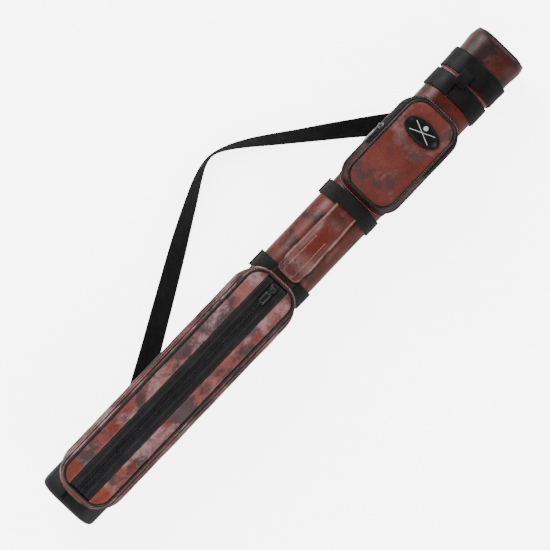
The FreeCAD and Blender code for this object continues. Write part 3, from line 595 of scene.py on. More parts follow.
def rolled_strip(start, end, thickness, roll, crown, steps=6):
    """A strip's closed cross section with rolled edges, as (offset, along) pairs."""
    outer = arc(thickness - roll, start + roll, roll, -1, 4)
    for step in range(1, steps):
        share = step / steps
        outer.append((thickness + crown * math.sin(math.pi * share),
                      start + roll + (end - start - 2 * roll) * share))
    return outer + arc(thickness - roll, end - roll, roll, 1, 4)[::-1] + [(0.0, end), (0.0, start)]


def even_points(points, pitch, closed=False):
    """Points at an even pitch along a polyline, and their directions."""
    points = np.asarray(points, float)
    if closed:
        points = np.vstack([points, points[:1]])
    run = run_of(points)
    count = max(2, int(run[-1] / pitch))
    wanted = (np.arange(count) + 0.5) * run[-1] / count
    made = sample(wanted, run, points)
    return made, sample(wanted + 0.2, run, points) - made


def stitches(name, points, normals, material, slot, body=CASE, pitch=3.4, length=2.5, radius=0.34,
             closed=False):
    """A row of thread stitches along a seam, each a short capsule half sunk in the surface."""
    points = np.asarray(points, float)
    verts, faces = [], []
    sides = 6
    stations = [(-0.5, 0.35), (-0.36, 0.9), (0.0, 1.0), (0.36, 0.9), (0.5, 0.35)]
    for centre, direction in zip(*even_points(points, pitch, closed)):
        nearest = int(np.argmin(np.linalg.norm(points - centre, axis=1)))
        tangent = Vector(direction).normalized()
        across = tangent.cross(Vector(normals[nearest])).normalized()
        normal = across.cross(tangent)
        base = len(verts)
        for share, wide in stations:
            middle = Vector(centre) + tangent * (share * length) + normal * (0.12 - 0.5 * share * share)
            for k in range(sides):
                angle = 2 * math.pi * k / sides
                offset = across * math.cos(angle) + normal * math.sin(angle) * 0.8
                verts.append(middle + offset * (radius * wide))
        faces += tube_faces(len(stations), sides, base)
    return make_mesh(name, verts, faces, material, body)


def round_cord(name, points, radius, material, body=CASE, closed=True, sides=10):
    """A round welt or wire along points."""
    points = np.asarray(points, float)
    count = len(points)
    rows = []
    for index in range(count):
        if closed:
            ahead = points[(index + 1) % count] - points[index - 1]
        else:
            ahead = points[min(index + 1, count - 1)] - points[max(index - 1, 0)]
        tangent = Vector(ahead).normalized()
        side = tangent.cross(Vector((0, 0, 1)))
        side = side.normalized() if side.length > 0.05 else Vector((1, 0, 0))
        up = side.cross(tangent)
        rows.append([tuple(Vector(points[index]) + (side * math.cos(a) + up * math.sin(a)) * radius)
                     for a in np.linspace(0, 2 * math.pi, sides, endpoint=False)])
    return rows_to_mesh(name, rows, material, body, ring=closed, caps=not closed)


def ribbon(name, centres, acrosses, widths, thickness, material, body=CASE, normals=None, crown=0.0,
           steps=10):
    """A flat strip along centres; across and normal are given station by station."""
    if normals is None:
        normals = unit(np.cross(acrosses, np.gradient(centres, axis=0)))
    widths, thick = (np.broadcast_to(value, len(centres)) for value in (widths, thickness))
    turns = [(math.sin(q), math.cos(q)) for q in (math.pi / 4, math.pi / 2, 3 * math.pi / 4)]
    shares = [i / steps for i in range(steps + 1)]
    rows = []
    for c, a, n, w, t in zip(centres, acrosses, normals, widths, thick):
        edge = min(t * 0.5, w / 2 * 0.8)
        flat = w / 2 - edge
        row = [c + a * flat * (2 * u - 1) + n * (t / 2 + crown * math.sin(math.pi * u)) for u in shares]
        row += [c + a * (flat + edge * sine) + n * (t / 2 * cosine) for sine, cosine in turns]
        row += [c - a * flat * (2 * u - 1) - n * (t / 2) for u in shares]
        row += [c - a * (flat + edge * sine) - n * (t / 2 * cosine) for sine, cosine in turns]
        rows.append(row)
    return rows_to_mesh(name, rows, material, body, caps=True)


def yz_strip(name, path, width, thickness, material, body=CASE, x=0.0, pitch=2.0, round_end=0.0,
             crown=0.0):
    """A strip that runs in the YZ plane through rounded path points (along, z), square across X."""
    path = np.array([(x, START + along, z) for along, z in path])
    dense = smoothed(np.vstack([path[:1], even_points(path, pitch)[0], path[-1:]]), 3)
    widths = np.full(len(dense), float(width))
    if round_end:
        run = run_of(dense)
        near = round_end - np.clip(run[-1] - run, 0, round_end)
        widths = width - 2 * round_end + 2 * np.sqrt(np.maximum(0.0, round_end ** 2 - near ** 2))
        widths = np.maximum(widths, width * 0.45)
    across = np.tile([1.0, 0.0, 0.0], (len(dense), 1))
    return ribbon(name, dense, across, widths, thickness, material, body, crown=crown)



# --- Case body, lid and their trim -------------------------------------------------------

SKIN_THICK = 1.2
SKIN_FROM = 5.0
SEAM_X = -10.5
JOINT_EDGE = [(0.0, 2.6), (0.0, 0.3), (-0.12, 0.1), (-0.3, 0.0)]     # offset, distance from the joint


def long_skin_profile():
    """The body's leatherette from under the boot to the mouth, with slightly sunken band places."""
    sunk = [(low - 3, high + 3) for low, high in BANDS.values()]
    outer = [(-0.25 if any(low < along < high for low, high in sunk) else 0.0, along)
             for along in np.arange(SKIN_FROM, MOUTH - 3.0, 6.0)]
    outer += [(out, MOUTH - away) for out, away in JOINT_EDGE]
    return outer + [(0.02 - SKIN_THICK, MOUTH), (0.02 - SKIN_THICK, SKIN_FROM)]


def boot_profile():
    """The boot from the edge of its end up to the rolled rim."""
    edge = 7.0
    outer = arc(TRIM - edge, edge, edge, -1, 8) + [(TRIM, along) for along in (12.0, 20.0, 28.0)]
    rim = [(0.0, 4.2), (0.5, 3.7), (0.0, 3.2), (0.0, 1.2), (0.4, 0.3), (1.2, 0.0)]
    return outer + [(TRIM - sink, BOOT_END - away) for sink, away in rim]


def lid_profile():
    """The lid's leatherette from the edge of its slightly full end to the joint."""
    edge = 9.0
    outer = arc(1.6 - edge, LID_END - edge, edge, 1, 8)
    swell = [(1.9, 13.0), (1.6, 18.0), (1.0, 24.0), (0.4, 30.0), (0.0, 36.0)]
    outer += [(out, LID_END - away) for out, away in swell]
    outer += [(0.0, LID_BAND[0] + 12.0), (0.0, LID_BAND[0] + 2.0)]
    return outer + [(out, LID_START + away) for out, away in JOINT_EDGE]


def edge_between(piece, low, high):
    """Colours a piece's faces between two places along the case like the joint's edge."""
    piece.data.materials.append(edge_leather)
    for polygon in piece.data.polygons:
        if low < polygon.center.y / MM - START < high:
            polygon.material_index = 1


skin = sleeve("body_leatherette", long_skin_profile(), body_leather, lumps=0.35)
edge_between(skin, MOUTH - 4.5, MOUTH + 1)
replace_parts(skin, "body_skin")
boot = capped_sleeve("boot_cup", boot_profile(), 3.0, black_vinyl, lumps=0.25)
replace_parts(boot, "bottom_boot")
lid_cover = capped_sleeve("lid_leatherette", lid_profile(), -2.0, lid_leather, "lid", 0.5)
edge_between(lid_cover, LID_START - 1, LID_START + 2.6)
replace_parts(lid_cover, "lid_skin")


def trim_band(name, span, node, arch, body=CASE, gap=None, ridge=math.inf):
    """A vinyl band beside the joint, arched back at its sides and raised beyond the ridge."""
    def bow(x, z):
        return -arch * min(1.0, (2 * x / SIDE) ** 2) * fade_in(z - 12.0, 55.0)

    profile = rolled_strip(*span, TRIM, 1.1, 0.15, 8)
    profile = [(out + 0.7 * (along > ridge), along) for out, along in profile[:-2]] + profile[-2:]
    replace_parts(sleeve(name, profile, collar_vinyl, body, bow, 0.2, gap), node)


trim_band("collar_wrap", COLLAR, "collar_band", 3.0, gap=(SEAM_X, 2.8))
trim_band("lid_wrap", LID_BAND, "lid_band", 1.8, "lid", ridge=LID_BAND[1] - 8.0)
fold_line = [(SEAM_X + 0.7, START + along, TOP + 0.5)
             for along in np.linspace(COLLAR[0] - 1.5, COLLAR[1] - 1, 12)]
round_cord("slit_fold", fold_line, 0.75, edge_leather, closed=False)
for band, lift in (("lower_band", 0.8), ("upper_band", 1.2)):
    webbing = sleeve(band + "_webbing", rolled_strip(*BANDS[band], 3.0, 1.0, 0.2), band_webbing,
                     bow=lambda x, z: lift * math.cos(math.pi * x / SIDE) if z > TOP - 4 else 0.0, lumps=0.3)
    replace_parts(webbing, band)

# --- Nodes that keep their CAD meshes ----------------------------------------------------

for node_material, names in (
    (case_board, ("body_shell", "lid_shell")),
    (grey_foam, ("base_pad", "base_plate", "mouth_plate", "lid_insert", "lid_pad")),
    (tube_plastic, ("butt_tube_front", "butt_tube_back", "shaft_tube_front", "shaft_tube_back")),
    (binding_fabric, ("mouth_binding", "lid_binding")),
    (black_enamel, ("lower_ring", "upper_ring", "lower_band_buckle", "upper_band_buckle")),
    (brass_plate, ("press_stud", "stud_socket")),
):
    for node_name in names:
        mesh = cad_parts[node_name].data
        mesh.materials.clear()
        mesh.materials.append(node_material)

for node_name in ("lower_band_buckle", "upper_band_buckle"):
    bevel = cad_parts[node_name].modifiers.new("soft_edges", "BEVEL")
    bevel.width = 0.35 * MM
    bevel.segments = 2
    bevel.limit_method = "ANGLE"
    bevel.angle_limit = math.radians(40)

# --- Pockets -----------------------------------------------------------------------------

# Height, half width, start, end and corner bend of a pocket's side, from its foot to its front.
LONG_LEVELS = [(52.0, 41.9, 28.0, 400.0, 32.0), (64.0, 47.6, 19.4, 411.0, 40.0),
               (92.0, 47.6, 19.4, 411.0, 40.0), (107.0, 42.0, 25.0, 409.6, 28.0),
               (112.0, 38.8, 27.4, 409.2, 23.5)]
SMALL_LEVELS = [(52.0, 41.9, 567.0, 709.0, 22.0), (62.0, 47.0, 560.5, 716.0, 28.0),
                (84.0, 47.0, 560.5, 716.0, 28.0), (107.0, 39.3, 563.2, 713.8, 23.8)]
FLAT_HALF = SIDE / 2 - BEND
BEND_RUN = BEND * math.pi / 2


def trim_height(along):
    """How far the trim stands out of the leatherette under a pocket."""
    low, high = BANDS["lower_band"]
    band = min(fade_in(along - low + 1.5, 1.5), fade_in(high + 1.5 - along, 1.5))
    return max(TRIM * fade_in(BOOT_END + 1.5 - along, 1.5), 3.2 * band)


def wall_point(run, along, lift):
    """A point on the case's section; run is measured round it from the top's middle, signed."""
    sign = 1 if run >= 0 else -1
    run = abs(run)
    if run < FLAT_HALF:
        x, z, nx, nz = run, SIDE / 2, 0.0, 1.0
    elif run < FLAT_HALF + BEND_RUN:
        angle = (run - FLAT_HALF) / BEND
        nx, nz = math.sin(angle), math.cos(angle)
        x, z = FLAT_HALF + BEND * nx, FLAT_HALF + BEND * nz
    else:
        x, z, nx, nz = SIDE / 2, FLAT_HALF - (run - FLAT_HALF - BEND_RUN), 1.0, 0.0
    normal = np.array([sign * nx, 0.0, nz])
    return np.array([sign * x, START + along, CENTRE + z]) + normal * (trim_height(along) + lift), normal


def wall_run(x, z):
    """The signed run of the point of the section nearest to (x, z)."""
    dx, dz = abs(x), z - CENTRE
    if dx <= FLAT_HALF:
        run = dx
    elif dz <= FLAT_HALF:
        run = BEND_RUN + 2 * FLAT_HALF - dz
    else:
        run = FLAT_HALF + BEND * math.atan2(dx - FLAT_HALF, dz - FLAT_HALF)
    return math.copysign(run, x)


def surface_height(x, along):
    """The height of the case's top side at (x, along), or -1 beside it."""
    out = trim_height(along)
    wide = abs(x)
    if wide <= FLAT_HALF:
        return CENTRE + SIDE / 2 + out
    if wide < SIDE / 2 + out:
        return CENTRE + FLAT_HALF + math.sqrt((BEND + out) ** 2 - (wide - FLAT_HALF) ** 2)
    return -1.0


class Pocket:
    """Where a pocket's gusset runs, station by station round its outline."""

    def __init__(self, levels, pitch=3.0):
        _, half, start, end, bend = levels[1]
        steps = [max(3, int(length / pitch)) for length in (half - bend, (end - start) / 2 - bend)]
        corner = max(8, int(bend * math.pi / 2 / pitch))
        self.heights = np.array([level[0] for level in levels])
        rings = []
        for _, half, start, end, bend in levels:
            ring, self.normals = rounded_outline(half, (end - start) / 2, bend, corner, *steps)
            rings.append(ring + (0.0, (start + end) / 2))
        self.rings = np.array(rings)
        self.count = len(self.normals)
        self.top = levels[-1][0]
        self.foot = self.find_feet()

    def at(self, k, height):
        """The point of station k at a height, as x, along, z."""
        return np.append(sample(height, self.heights, self.rings[:, k]), height)

    def on_face(self, k, height, lift=0.0):
        """A point on the gusset's face, lifted off it, and the face's outward normal."""
        low, high = (self.at(k, edge) for edge in (max(height - 1.5, self.heights[0]),
                                                   min(height + 1.5, self.top)))
        out = self.normals[k]
        rise = high[2] - low[2]
        normal = unit(np.array([*(out * rise), -(high[:2] - low[:2]) @ out]))
        return self.at(k, height) + normal * lift + (0, START, 0), normal

    def find_feet(self):
        """The height at which each station meets the case."""
        feet = []
        for k in range(self.count):
            height = self.heights[0]
            while height < self.top - 4 and height <= surface_height(*self.at(k, height)[:2]):
                height += 0.25
            feet.append(height)
        feet = np.array(feet)
        for _ in range(4):
            feet = np.maximum(feet, (np.roll(feet, 1) + feet + np.roll(feet, -1)) / 3)
        return feet

    def flange(self, k, out, lift):
        """A point on the sewn flange, out from the gusset's foot along the case's surface."""
        x, along, z = self.at(k, self.foot[k])
        nx, ny = self.normals[k]
        return wall_point(wall_run(x, z) + math.copysign(out * abs(nx), x), along + out * ny, lift)

    def loop(self, height, lift, keep):
        """Points and normals of one open run round the pocket: the stations that keep says yes to."""
        kept = [keep(*self.at(k, height)[:2]) for k in range(self.count)]
        first = next(k for k in range(self.count) if kept[k] and not kept[k - 1])
        run = [self.on_face((first + step) % self.count, height, lift) for step in range(sum(kept))]
        return [np.array(values) for values in zip(*run)]


def gusset(name, pocket, ridges, material, node, flange=2.2, sag=0.5, seed=0.0, plain_end=0.0):
    """A pocket's soft side: a sewn flange, then a wall with (height, rise, width) ridges to the piping."""
    rows = []
    skin_thick = 1.5
    for k in range(pocket.count):
        foot = pocket.foot[k]
        sewn = [(flange, 0.05), (flange, 0.75), (flange - 0.5, 1.0), (0.9, 0.8), (0.1, 0.55)]
        row = [pocket.flange(k, out, lift)[0] for out, lift in sewn]
        inner = []
        for height in np.linspace(foot + 0.8, pocket.top, 26):
            base, normal = pocket.on_face(k, height)
            fade = min(1.0, (height - foot) / 5, (pocket.top - height) / 4)
            push = sag * fade * soft_noise(base, 22.0, seed) + 0.22 * fade * soft_noise(base, 7.0, seed + 3)
            plain = fade_in(base[1] - START - plain_end, 14.0)
            for place, high, wide in ridges:
                push += plain * high * math.exp(-((height - place) / wide) ** 2)
            row.append(base + normal * push)
            inner.append(base - normal * skin_thick)
        rows.append(row + inner[::-1])
    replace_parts(rows_to_mesh(name, rows, material, ring=True), node)
    line, normals = zip(*(pocket.flange(k, flange - 1.4, 0.95) for k in range(pocket.count)))
    stitches(name + "_flange_stitches", line, normals, light_thread, "leatherette", closed=True)


LONG_GROOVES = (107.4, 101.2, 93.6)
RIDGE_START = 34.0
long_pocket = Pocket(LONG_LEVELS)
long_ridges = [(height, -0.9, 0.8) for height in LONG_GROOVES]
long_ridges += [(104.3, 0.7, 1.5), (97.4, 0.8, 2.0), (86.0, 0.5, 2.4)]
gusset("long_gusset", long_pocket, long_ridges, gusset_leather, "long_pocket_gusset", seed=2.2,
       plain_end=RIDGE_START)
small_pocket = Pocket(SMALL_LEVELS)
gusset("small_gusset", small_pocket, [(87.6, 0.8, 1.2), (72.0, 0.5, 2.0)], small_gusset_leather,
       "small_pocket_gusset", flange=3.6, sag=0.35, seed=5.1)
for height in LONG_GROOVES:
    points, _ = long_pocket.loop(height, -0.35, lambda x, along: along > RIDGE_START)
    round_cord(f"long_gusset_welt_{int(height)}", points, 0.85, piping_leather, closed=False,
               sides=8)
for height in (99.3, 105.5):
    stitches(f"long_gusset_stitches_{int(height)}",
             *long_pocket.loop(height, 0.45, lambda x, along: along > RIDGE_START + 14), light_thread,
             "leatherette", pitch=3.8, length=2.7, radius=0.26)


def piping(name, levels, node):
    """The welt round a pocket's front."""
    top, half, start, end, bend = levels[-1]
    outline, _ = rounded_outline(half - 1.5, (end - start) / 2 - 1.5, bend - 1.5, 12, 12, 40)
    points = [(x, START + (start + end) / 2 + y, top + 1.55) for x, y in outline]
    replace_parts(round_cord(name, points, 1.5, piping_leather), node)


piping("long_welt", LONG_LEVELS, "long_pocket_piping")
piping("small_welt", SMALL_LEVELS, "small_pocket_piping")


def front_of(levels):
    """A pocket's front inside its piping: height, half width, start, end and corner bend."""
    top, half, start, end, bend = levels[-1]
    return top, half - 3.0, start + 3.0, end - 3.0, bend - 3.0


def front_strip(name, side, inner_x, seed):
    """One leatherette strip beside the long zip: from the zip window out to the piping."""
    top, half, start, end, bend = front_of(LONG_LEVELS)
    rows = []
    for share in np.linspace(0, 1, 131):
        share -= 0.28 * math.sin(2 * math.pi * share) / (2 * math.pi)
        along = start + (end - start) * share
        near = min(along - start, end - along)
        outer = half if near >= bend else half - bend + math.sqrt(max(0.0, bend ** 2 - (bend - near) ** 2))
        wide = max(outer, inner_x + 0.3) - inner_x
        ends = min(1.0, near / 4 + 0.2)
        face, back = [], []
        for u in np.linspace(0, 1, 12):
            x = side * (inner_x + wide * u)
            edge = min(1.0, u * 6, (1 - u) * 4) ** 0.5
            z = top + 1.5 * (0.45 + 0.55 * edge) + 1.1 * math.sin(math.pi * u) * ends
            z += 0.32 * edge * ends * soft_noise((x, along, 0), 19.0, seed)
            face.append((x, START + along, z))
            back.append((x, START + along, top + 0.02))
        rows.append(face + back[::-1])
    return rows_to_mesh(name, rows, panel_leather, caps=True)


def small_front():
    """The small pocket's crowned front with softened edges."""
    top, half, start, end, bend = front_of(SMALL_LEVELS)
    outline, _ = rounded_outline(half, (end - start) / 2, bend, 12, 10, 18)
    middle = (start + end) / 2
    rows = []
    for share in (0.0, 0.2, 0.4, 0.55, 0.68, 0.78, 0.86, 0.92, 0.96, 0.985, 1.0):
        crown = 0.25 * math.cos(math.pi / 2 * share)
        edge = top + 1.5 * (0.5 + 0.5 * min(1.0, (1 - share) * 14) ** 0.5) + crown
        rows.append([(x, START + middle + y, edge + 0.2 * soft_noise((x, y, 0), 17.0, 8.0) * (1 - share))
                     for x, y in outline * share])
    for share in (1.0, 0.5, 0.0):
        rows.append([(x, START + middle + y, top + 0.02) for x, y in outline * share])
    front = rows_to_mesh("small_front", rows, small_leather, merged=True)
    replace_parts(front, "small_pocket_panel")


ZIP_HALF = 16.8
SIDES = ((-1, "left"), (1, "right"))
for side, label in SIDES:
    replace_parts(front_strip(f"long_front_{label}", side, ZIP_HALF, side * 3.1), "long_pocket_panel")
small_front()

# A cord sunk along the boot's side, in the near-black seam vinyl that paints the seam's shade.
line = [wall_point(-(FLAT_HALF + 1.05 * BEND), along, -0.1)[0]
        for along in np.linspace(6.5, BOOT_END - 1, 12)]
round_cord("boot_side_seam", line, 0.6, seam_shade_vinyl, closed=False, sides=8)
# The strip over the boot's front seam, near-black as painted shade of the gap where the boot's ends meet.
seam_path = [(along, TOP + out + 0.2) for out, along in boot_profile()[4:] if along < BOOT_END - 0.2]
boot_seam = yz_strip("boot_seam", seam_path, 5.5, 0.6, seam_shade_vinyl, x=-10.3, pitch=1.2)
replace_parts(boot_seam, "boot_seam_strip")

# --- Long zip ----------------------------------------------------------------------------

LONG_FRONT = LONG_LEVELS[-1][0]
LONG_ZIP = (LONG_LEVELS[-1][2] + 4.4, LONG_LEVELS[-1][3] - 4.4)
COIL_LOW = 113.2
TAPE_PROFILE = [(0.25, 112.1), (0.25, 112.9), (3.0, 113.05), (6.0, 113.1), (10.0, 113.1), (16.7, 113.1),
                (16.7, 112.1)]
FACING_PROFILE = [(6.3, 113.12), (6.15, 113.5), (6.4, 113.95), (7.0, 114.15), (8.2, 114.1), (9.0, 113.85),
                  (9.8, 114.05), (12.5, 114.25), (15.0, 114.1), (16.5, 113.7), (16.7, 113.12)]


def beside_zip(name, side, profile, material, wave=0.0):
    """A closed (x, z) profile run along one side of the long zip, with a slightly wavy upper face."""
    rows = []
    for along in np.linspace(*LONG_ZIP, int((LONG_ZIP[1] - LONG_ZIP[0]) / 6.0) + 1):
        row = []
        for x, z in profile:
            x *= side
            rise = wave * soft_noise((along, x, z), 30.0, side + 2) if z > LONG_FRONT + 0.8 else 0.0
            row.append((x + wave * soft_noise((x, along, z), 25.0, side), START + along, z + rise))
        rows.append(row)
    return rows_to_mesh(name, rows, material, caps=True)


def coil(name, points, acrosses, normals, pitch=1.5, half=2.9, high=1.45):
    """Interlocked zip teeth: rounded wedges set in turn from the left and the right."""
    wedge = ((-0.28, 0.62, 0.2, 0.75), (0.0, 0.62, 0.0, 1.0), (0.55, 0.46, 0.0, 0.95), (1.0, 0.4, 0.15, 0.6))
    run = run_of(points)
    verts, faces = [], []
    for index in range(int(run[-1] / pitch)):
        wanted = (index + 0.5) * pitch
        centre, across, normal = (sample(wanted, run, rows) for rows in (points, acrosses, normals))
        ahead = unit(sample(wanted + 0.2, run, points) - centre) * pitch * 0.7
        side = 1 if index % 2 else -1
        faces += tube_faces(4, 4, len(verts))
        for u, wide, low, tall in wedge:
            for v, w in ((-1, low), (1, low), (1, tall), (-1, tall)):
                verts.append(centre + across * side * u * half + ahead * v * wide + normal * w * high)
    return make_mesh(name, verts, faces, coil_plastic, smooth=False)


for side, label in SIDES:
    tape = beside_zip(f"long_tape_{label}", side, TAPE_PROFILE, zip_fabric)
    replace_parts(tape, f"long_zip_tape_{label}")
    beside_zip(f"long_facing_{label}", side, FACING_PROFILE, flap_vinyl, 0.12)
    for row, x, z in (("", 9.0, 113.9), ("edge_", 15.6, 114.0)):
        seam = [(side * x, START + along, z) for along in np.linspace(LONG_ZIP[0] + 2, LONG_ZIP[1] - 2, 40)]
        stitches(f"long_facing_{row}stitches_{label}", seam, [(0, 0, 1)] * 40, dark_thread, "zip_tape")
teeth_line = [(0, START + along, COIL_LOW) for along in np.linspace(LONG_ZIP[0] + 3.2, LONG_ZIP[1] - 3.2, 60)]
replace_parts(coil("long_teeth", teeth_line, [(1, 0, 0)] * 60, [(0, 0, 1)] * 60), "long_zip_coil")

# --- Small zip round the small pocket ----------------------------------------------------

ZIP_BAND = (91.0, 104.0)
ZIP_MIDDLE = sum(ZIP_BAND) / 2


def small_zip_loop(height, lift):
    """The small zip's line, in order from its left end over the top to its right end."""
    return small_pocket.loop(height, lift, lambda x, along: along > (617.0 if x < 0 else 637.0))


def small_band(name, low, high, lift, thickness, material):
    """A strip lying on the small pocket's slanted wall between two heights."""
    middle, bottom, top = (small_zip_loop(height, lift + thickness / 2)
                           for height in ((low + high) / 2, low, high))
    across = top[0] - bottom[0]
    return ribbon(name, middle[0], unit(across), np.linalg.norm(across, axis=1), thickness, material,
                  normals=middle[1])


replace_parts(small_band("small_tape", *ZIP_BAND, 0.05, 0.75, zip_fabric), "small_zip_tape")
small_band("small_facing_low", ZIP_BAND[0], ZIP_MIDDLE - 3.6, 0.5, 0.9, flap_vinyl)
small_band("small_facing_high", ZIP_MIDDLE + 3.6, ZIP_BAND[1], 0.5, 0.9, flap_vinyl)
points, normals = small_zip_loop(ZIP_MIDDLE, 0.8)
across = unit(np.cross(normals, np.gradient(points, axis=0)))
small_coil = coil("small_teeth", points[1:-1], across[1:-1], normals[1:-1], pitch=1.3, half=1.9, high=0.95)
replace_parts(small_coil, "small_zip_coil")
for height in (ZIP_BAND[0] + 1.2, ZIP_BAND[1] - 1.2):
    points, normals = small_zip_loop(height, 1.45)
    stitches(f"small_facing_stitches_{int(height)}", points[1:-1], normals[1:-1], dark_thread, "zip_tape")

# --- Sliders and pulls -------------------------------------------------------------------


def transformed(points, matrix):
    return [tuple(matrix @ Vector(point)) for point in points]


def rounded_slab(name, outline, low, high, edge, matrix, material, body):
    """A flat plate from an outline of (x, y), its top edge rounded."""
    outline = np.asarray(outline, float)
    centre = outline.mean(axis=0)
    size = np.abs(outline - centre).max()
    levels = [(0.0, low), (1.0, low), (1.0, high - edge), (1 - 0.3 * edge / size, high - 0.3 * edge),
              (1 - edge / size, high), (0.0, high)]
    rows = [transformed([(*(centre + (point - centre) * share), z) for point in outline], matrix)
            for share, z in levels]
    return rows_to_mesh(name, rows, material, body, merged=True)


def slider_shape(wide, long):
    """A zip slider's plan: broad shoulders towards +Y, narrower tail towards -Y."""
    half, reach = wide / 2, long / 2
    side = [(0, reach), (0.55 * half, reach * 0.97), (0.9 * half, reach * 0.75), (half, reach * 0.35),
            (0.92 * half, -reach * 0.1), (0.8 * half, -reach * 0.6), (0.72 * half, -reach * 0.92),
            (0.4 * half, -reach)]
    return side + [(-x, y) for x, y in side[::-1] if x > 0]


def lump(name, stations, matrix, material, body, sides=14):
    """A closed body along Y: (y, x half, z low, z high) at each station, rounded in section."""
    rows = []
    for y, half, low, high in stations:
        row = []
        for angle in np.linspace(0, 2 * math.pi, sides, endpoint=False):
            across, up = (math.copysign(abs(part) ** 0.55, part)
                          for part in (math.cos(angle), math.sin(angle)))
            row.append((half * across, y, (low + high) / 2 + (high - low) / 2 * up))
        rows.append(transformed(row, matrix))
    return rows_to_mesh(name, rows, material, body, caps=True)


def join(first, *others):
    """Adds the other pieces' meshes to the first and removes them."""
    joined = bmesh.new()
    joined.from_mesh(first.data)
    for other in others:
        joined.from_mesh(other.data)
        bpy.data.objects.remove(other)
    joined.to_mesh(first.data)
    joined.free()
    first.data.polygons.foreach_set("use_smooth", [True] * len(first.data.polygons))


def zip_slider(label, matrix, wide, long, coil_half, coil_high, roof, pin_rise, room, finish):
    """A roof over the teeth, a skirt down each side, and two ears that hold the pull's pin."""
    body = label.replace("zip_", "")
    roof_low = coil_high + 0.35
    roof_high = roof_low + roof
    pin_height = roof_high + pin_rise
    plate = rounded_slab(label + "_body", slider_shape(wide, long), roof_low, roof_high, 0.45, matrix, finish,
                         body)
    parts = []
    wall = wide / 2 - coil_half - room
    for side in (-1, 1):
        x = side * (wide / 2 - wall / 2)
        outline = [(x + across * wall / 2, long * share)
                   for across, share in ((-1, 0.3), (1, 0.3), (1, -0.36), (-1, -0.36))]
        parts.append(rounded_slab(f"{label}_skirt_{side + 1}", outline, 0.4, roof_low + 0.1, 0.2, matrix,
                                  finish, body))
    ear = [(y, 0.6, roof_high - 0.3, pin_height + rise)
           for y, rise in ((-1.5, 0.3), (-1.2, 0.9), (0, 1.1), (1.2, 0.9), (1.5, 0.3))]
    for side in (-1, 1):
        ear_place = matrix @ Matrix.Translation((side * 3.1, 0, 0))
        parts.append(lump(f"{label}_ear_{side + 1}", ear, ear_place, finish, body))
    pin_place = matrix @ Matrix.Translation((0, 0, pin_height)) @ Matrix.Rotation(math.pi / 2, 4, "Z")
    pin = [(y, 0.68, -0.68, 0.68) for y in (-3.7, 3.7)]
    parts.append(lump(label + "_pin", pin, pin_place, finish, body, sides=12))
    join(plate, *parts)
    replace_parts(plate, label)
    return pin_height


def zip_pull(label, matrix, pin_height, wide, reach, finish):
    """An eye round the pin, a neck and a tongue with a pressed window."""
    body = label.replace("zip_", "")
    rows = []
    for x, radius in ((-2.2, 1.5), (-1.9, 1.7), (1.9, 1.7), (2.2, 1.5), (2.2, 0.95), (-2.2, 0.95)):
        circle = [(x, radius * math.cos(angle), pin_height + radius * math.sin(angle))
                  for angle in np.linspace(0, 2 * math.pi, 16, endpoint=False)]
        rows.append(transformed(circle, matrix))
    eye = rows_to_mesh(label + "_tongue", rows, finish, body, ring=True)
    low, high = pin_height - 0.6, pin_height + 0.6
    neck_shape = [(-2.2, -1.4), (2.2, -1.4), (1.7, -4.0), (1.7, -9.0), (-1.7, -9.0), (-1.7, -4.0)]
    neck = rounded_slab(label + "_neck", neck_shape, low, high, 0.25, matrix, finish, body)
    half_wide, half_long, middle = wide / 2, (reach - 7.0) / 2, -(reach + 7.0) / 2
    outline, _ = rounded_outline(half_wide, half_long, min(2.8, half_wide * 0.7), 6, 3, 5)
    window, _ = rounded_outline(half_wide - 1.7, half_long - 2.6, min(1.6, half_wide * 0.35), 6, 3, 5)
    underside = [(outline, 0.2), (outline * 0.97, 0.0), (window, 0.0), (window, 0.35), (window * 0.9, 0.4),
                 (outline * 0.0, 0.4)]
    levels = [(shape, low + rise) for shape, rise in underside]
    levels += [(shape, high - rise) for shape, rise in underside[::-1]]
    rows = [transformed([(x, y + middle, z) for x, y in shape], matrix) for shape, z in levels]
    plate = rows_to_mesh(label + "_plate", rows, finish, body, ring=True, merged=True)
    join(eye, neck, plate)
    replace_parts(eye, label)


place = Matrix.Translation((0, START + 397.0, COIL_LOW))
pin_height = zip_slider("long_zip_slider", place, 10.0, 12.0, 3.0, 1.6, 1.2, 2.1, 0.4, black_enamel)
zip_pull("long_zip_pull", place, pin_height, 9.0, 26.0, black_enamel)
wall_foot, wall_half = SMALL_LEVELS[2][:2]
wall_top, top_half = SMALL_LEVELS[3][:2]
lean = math.atan2(wall_top - wall_foot, wall_half - top_half)
wall_x = wall_half - (ZIP_MIDDLE - wall_foot) / math.tan(lean)
place = Matrix.Translation((-wall_x - math.sin(lean) * 0.9, START + 648.0, ZIP_MIDDLE + math.cos(lean) * 0.9))
place = place @ Matrix.Rotation(-lean, 4, "Y")
pin_height = zip_slider("small_zip_slider", place, 8.8, 10.0, 1.9 / math.sin(lean), 1.0, 1.0, 1.9, 1.1,
                        bright_metal)
zip_pull("small_zip_pull", place, pin_height, 6.5, 31.0, bright_metal)

# --- Badge: an oval with two crossed cues and a ball -------------------------------------

BADGE_ALONG = 677.0
BADGE_LOW = SMALL_LEVELS[-1][0] + 1.6


def oval(name, along, low, half_x, half_y, levels, sides, material):
    """A flat round piece built up of (share of its size, rise) levels."""
    rows = []
    for share, rise in levels:
        rows.append([(half_x * share * math.cos(angle), START + along + half_y * share * math.sin(angle),
                      low + rise) for angle in np.linspace(0, 2 * math.pi, sides, endpoint=False)])
    return rows_to_mesh(name, rows, material, merged=True)


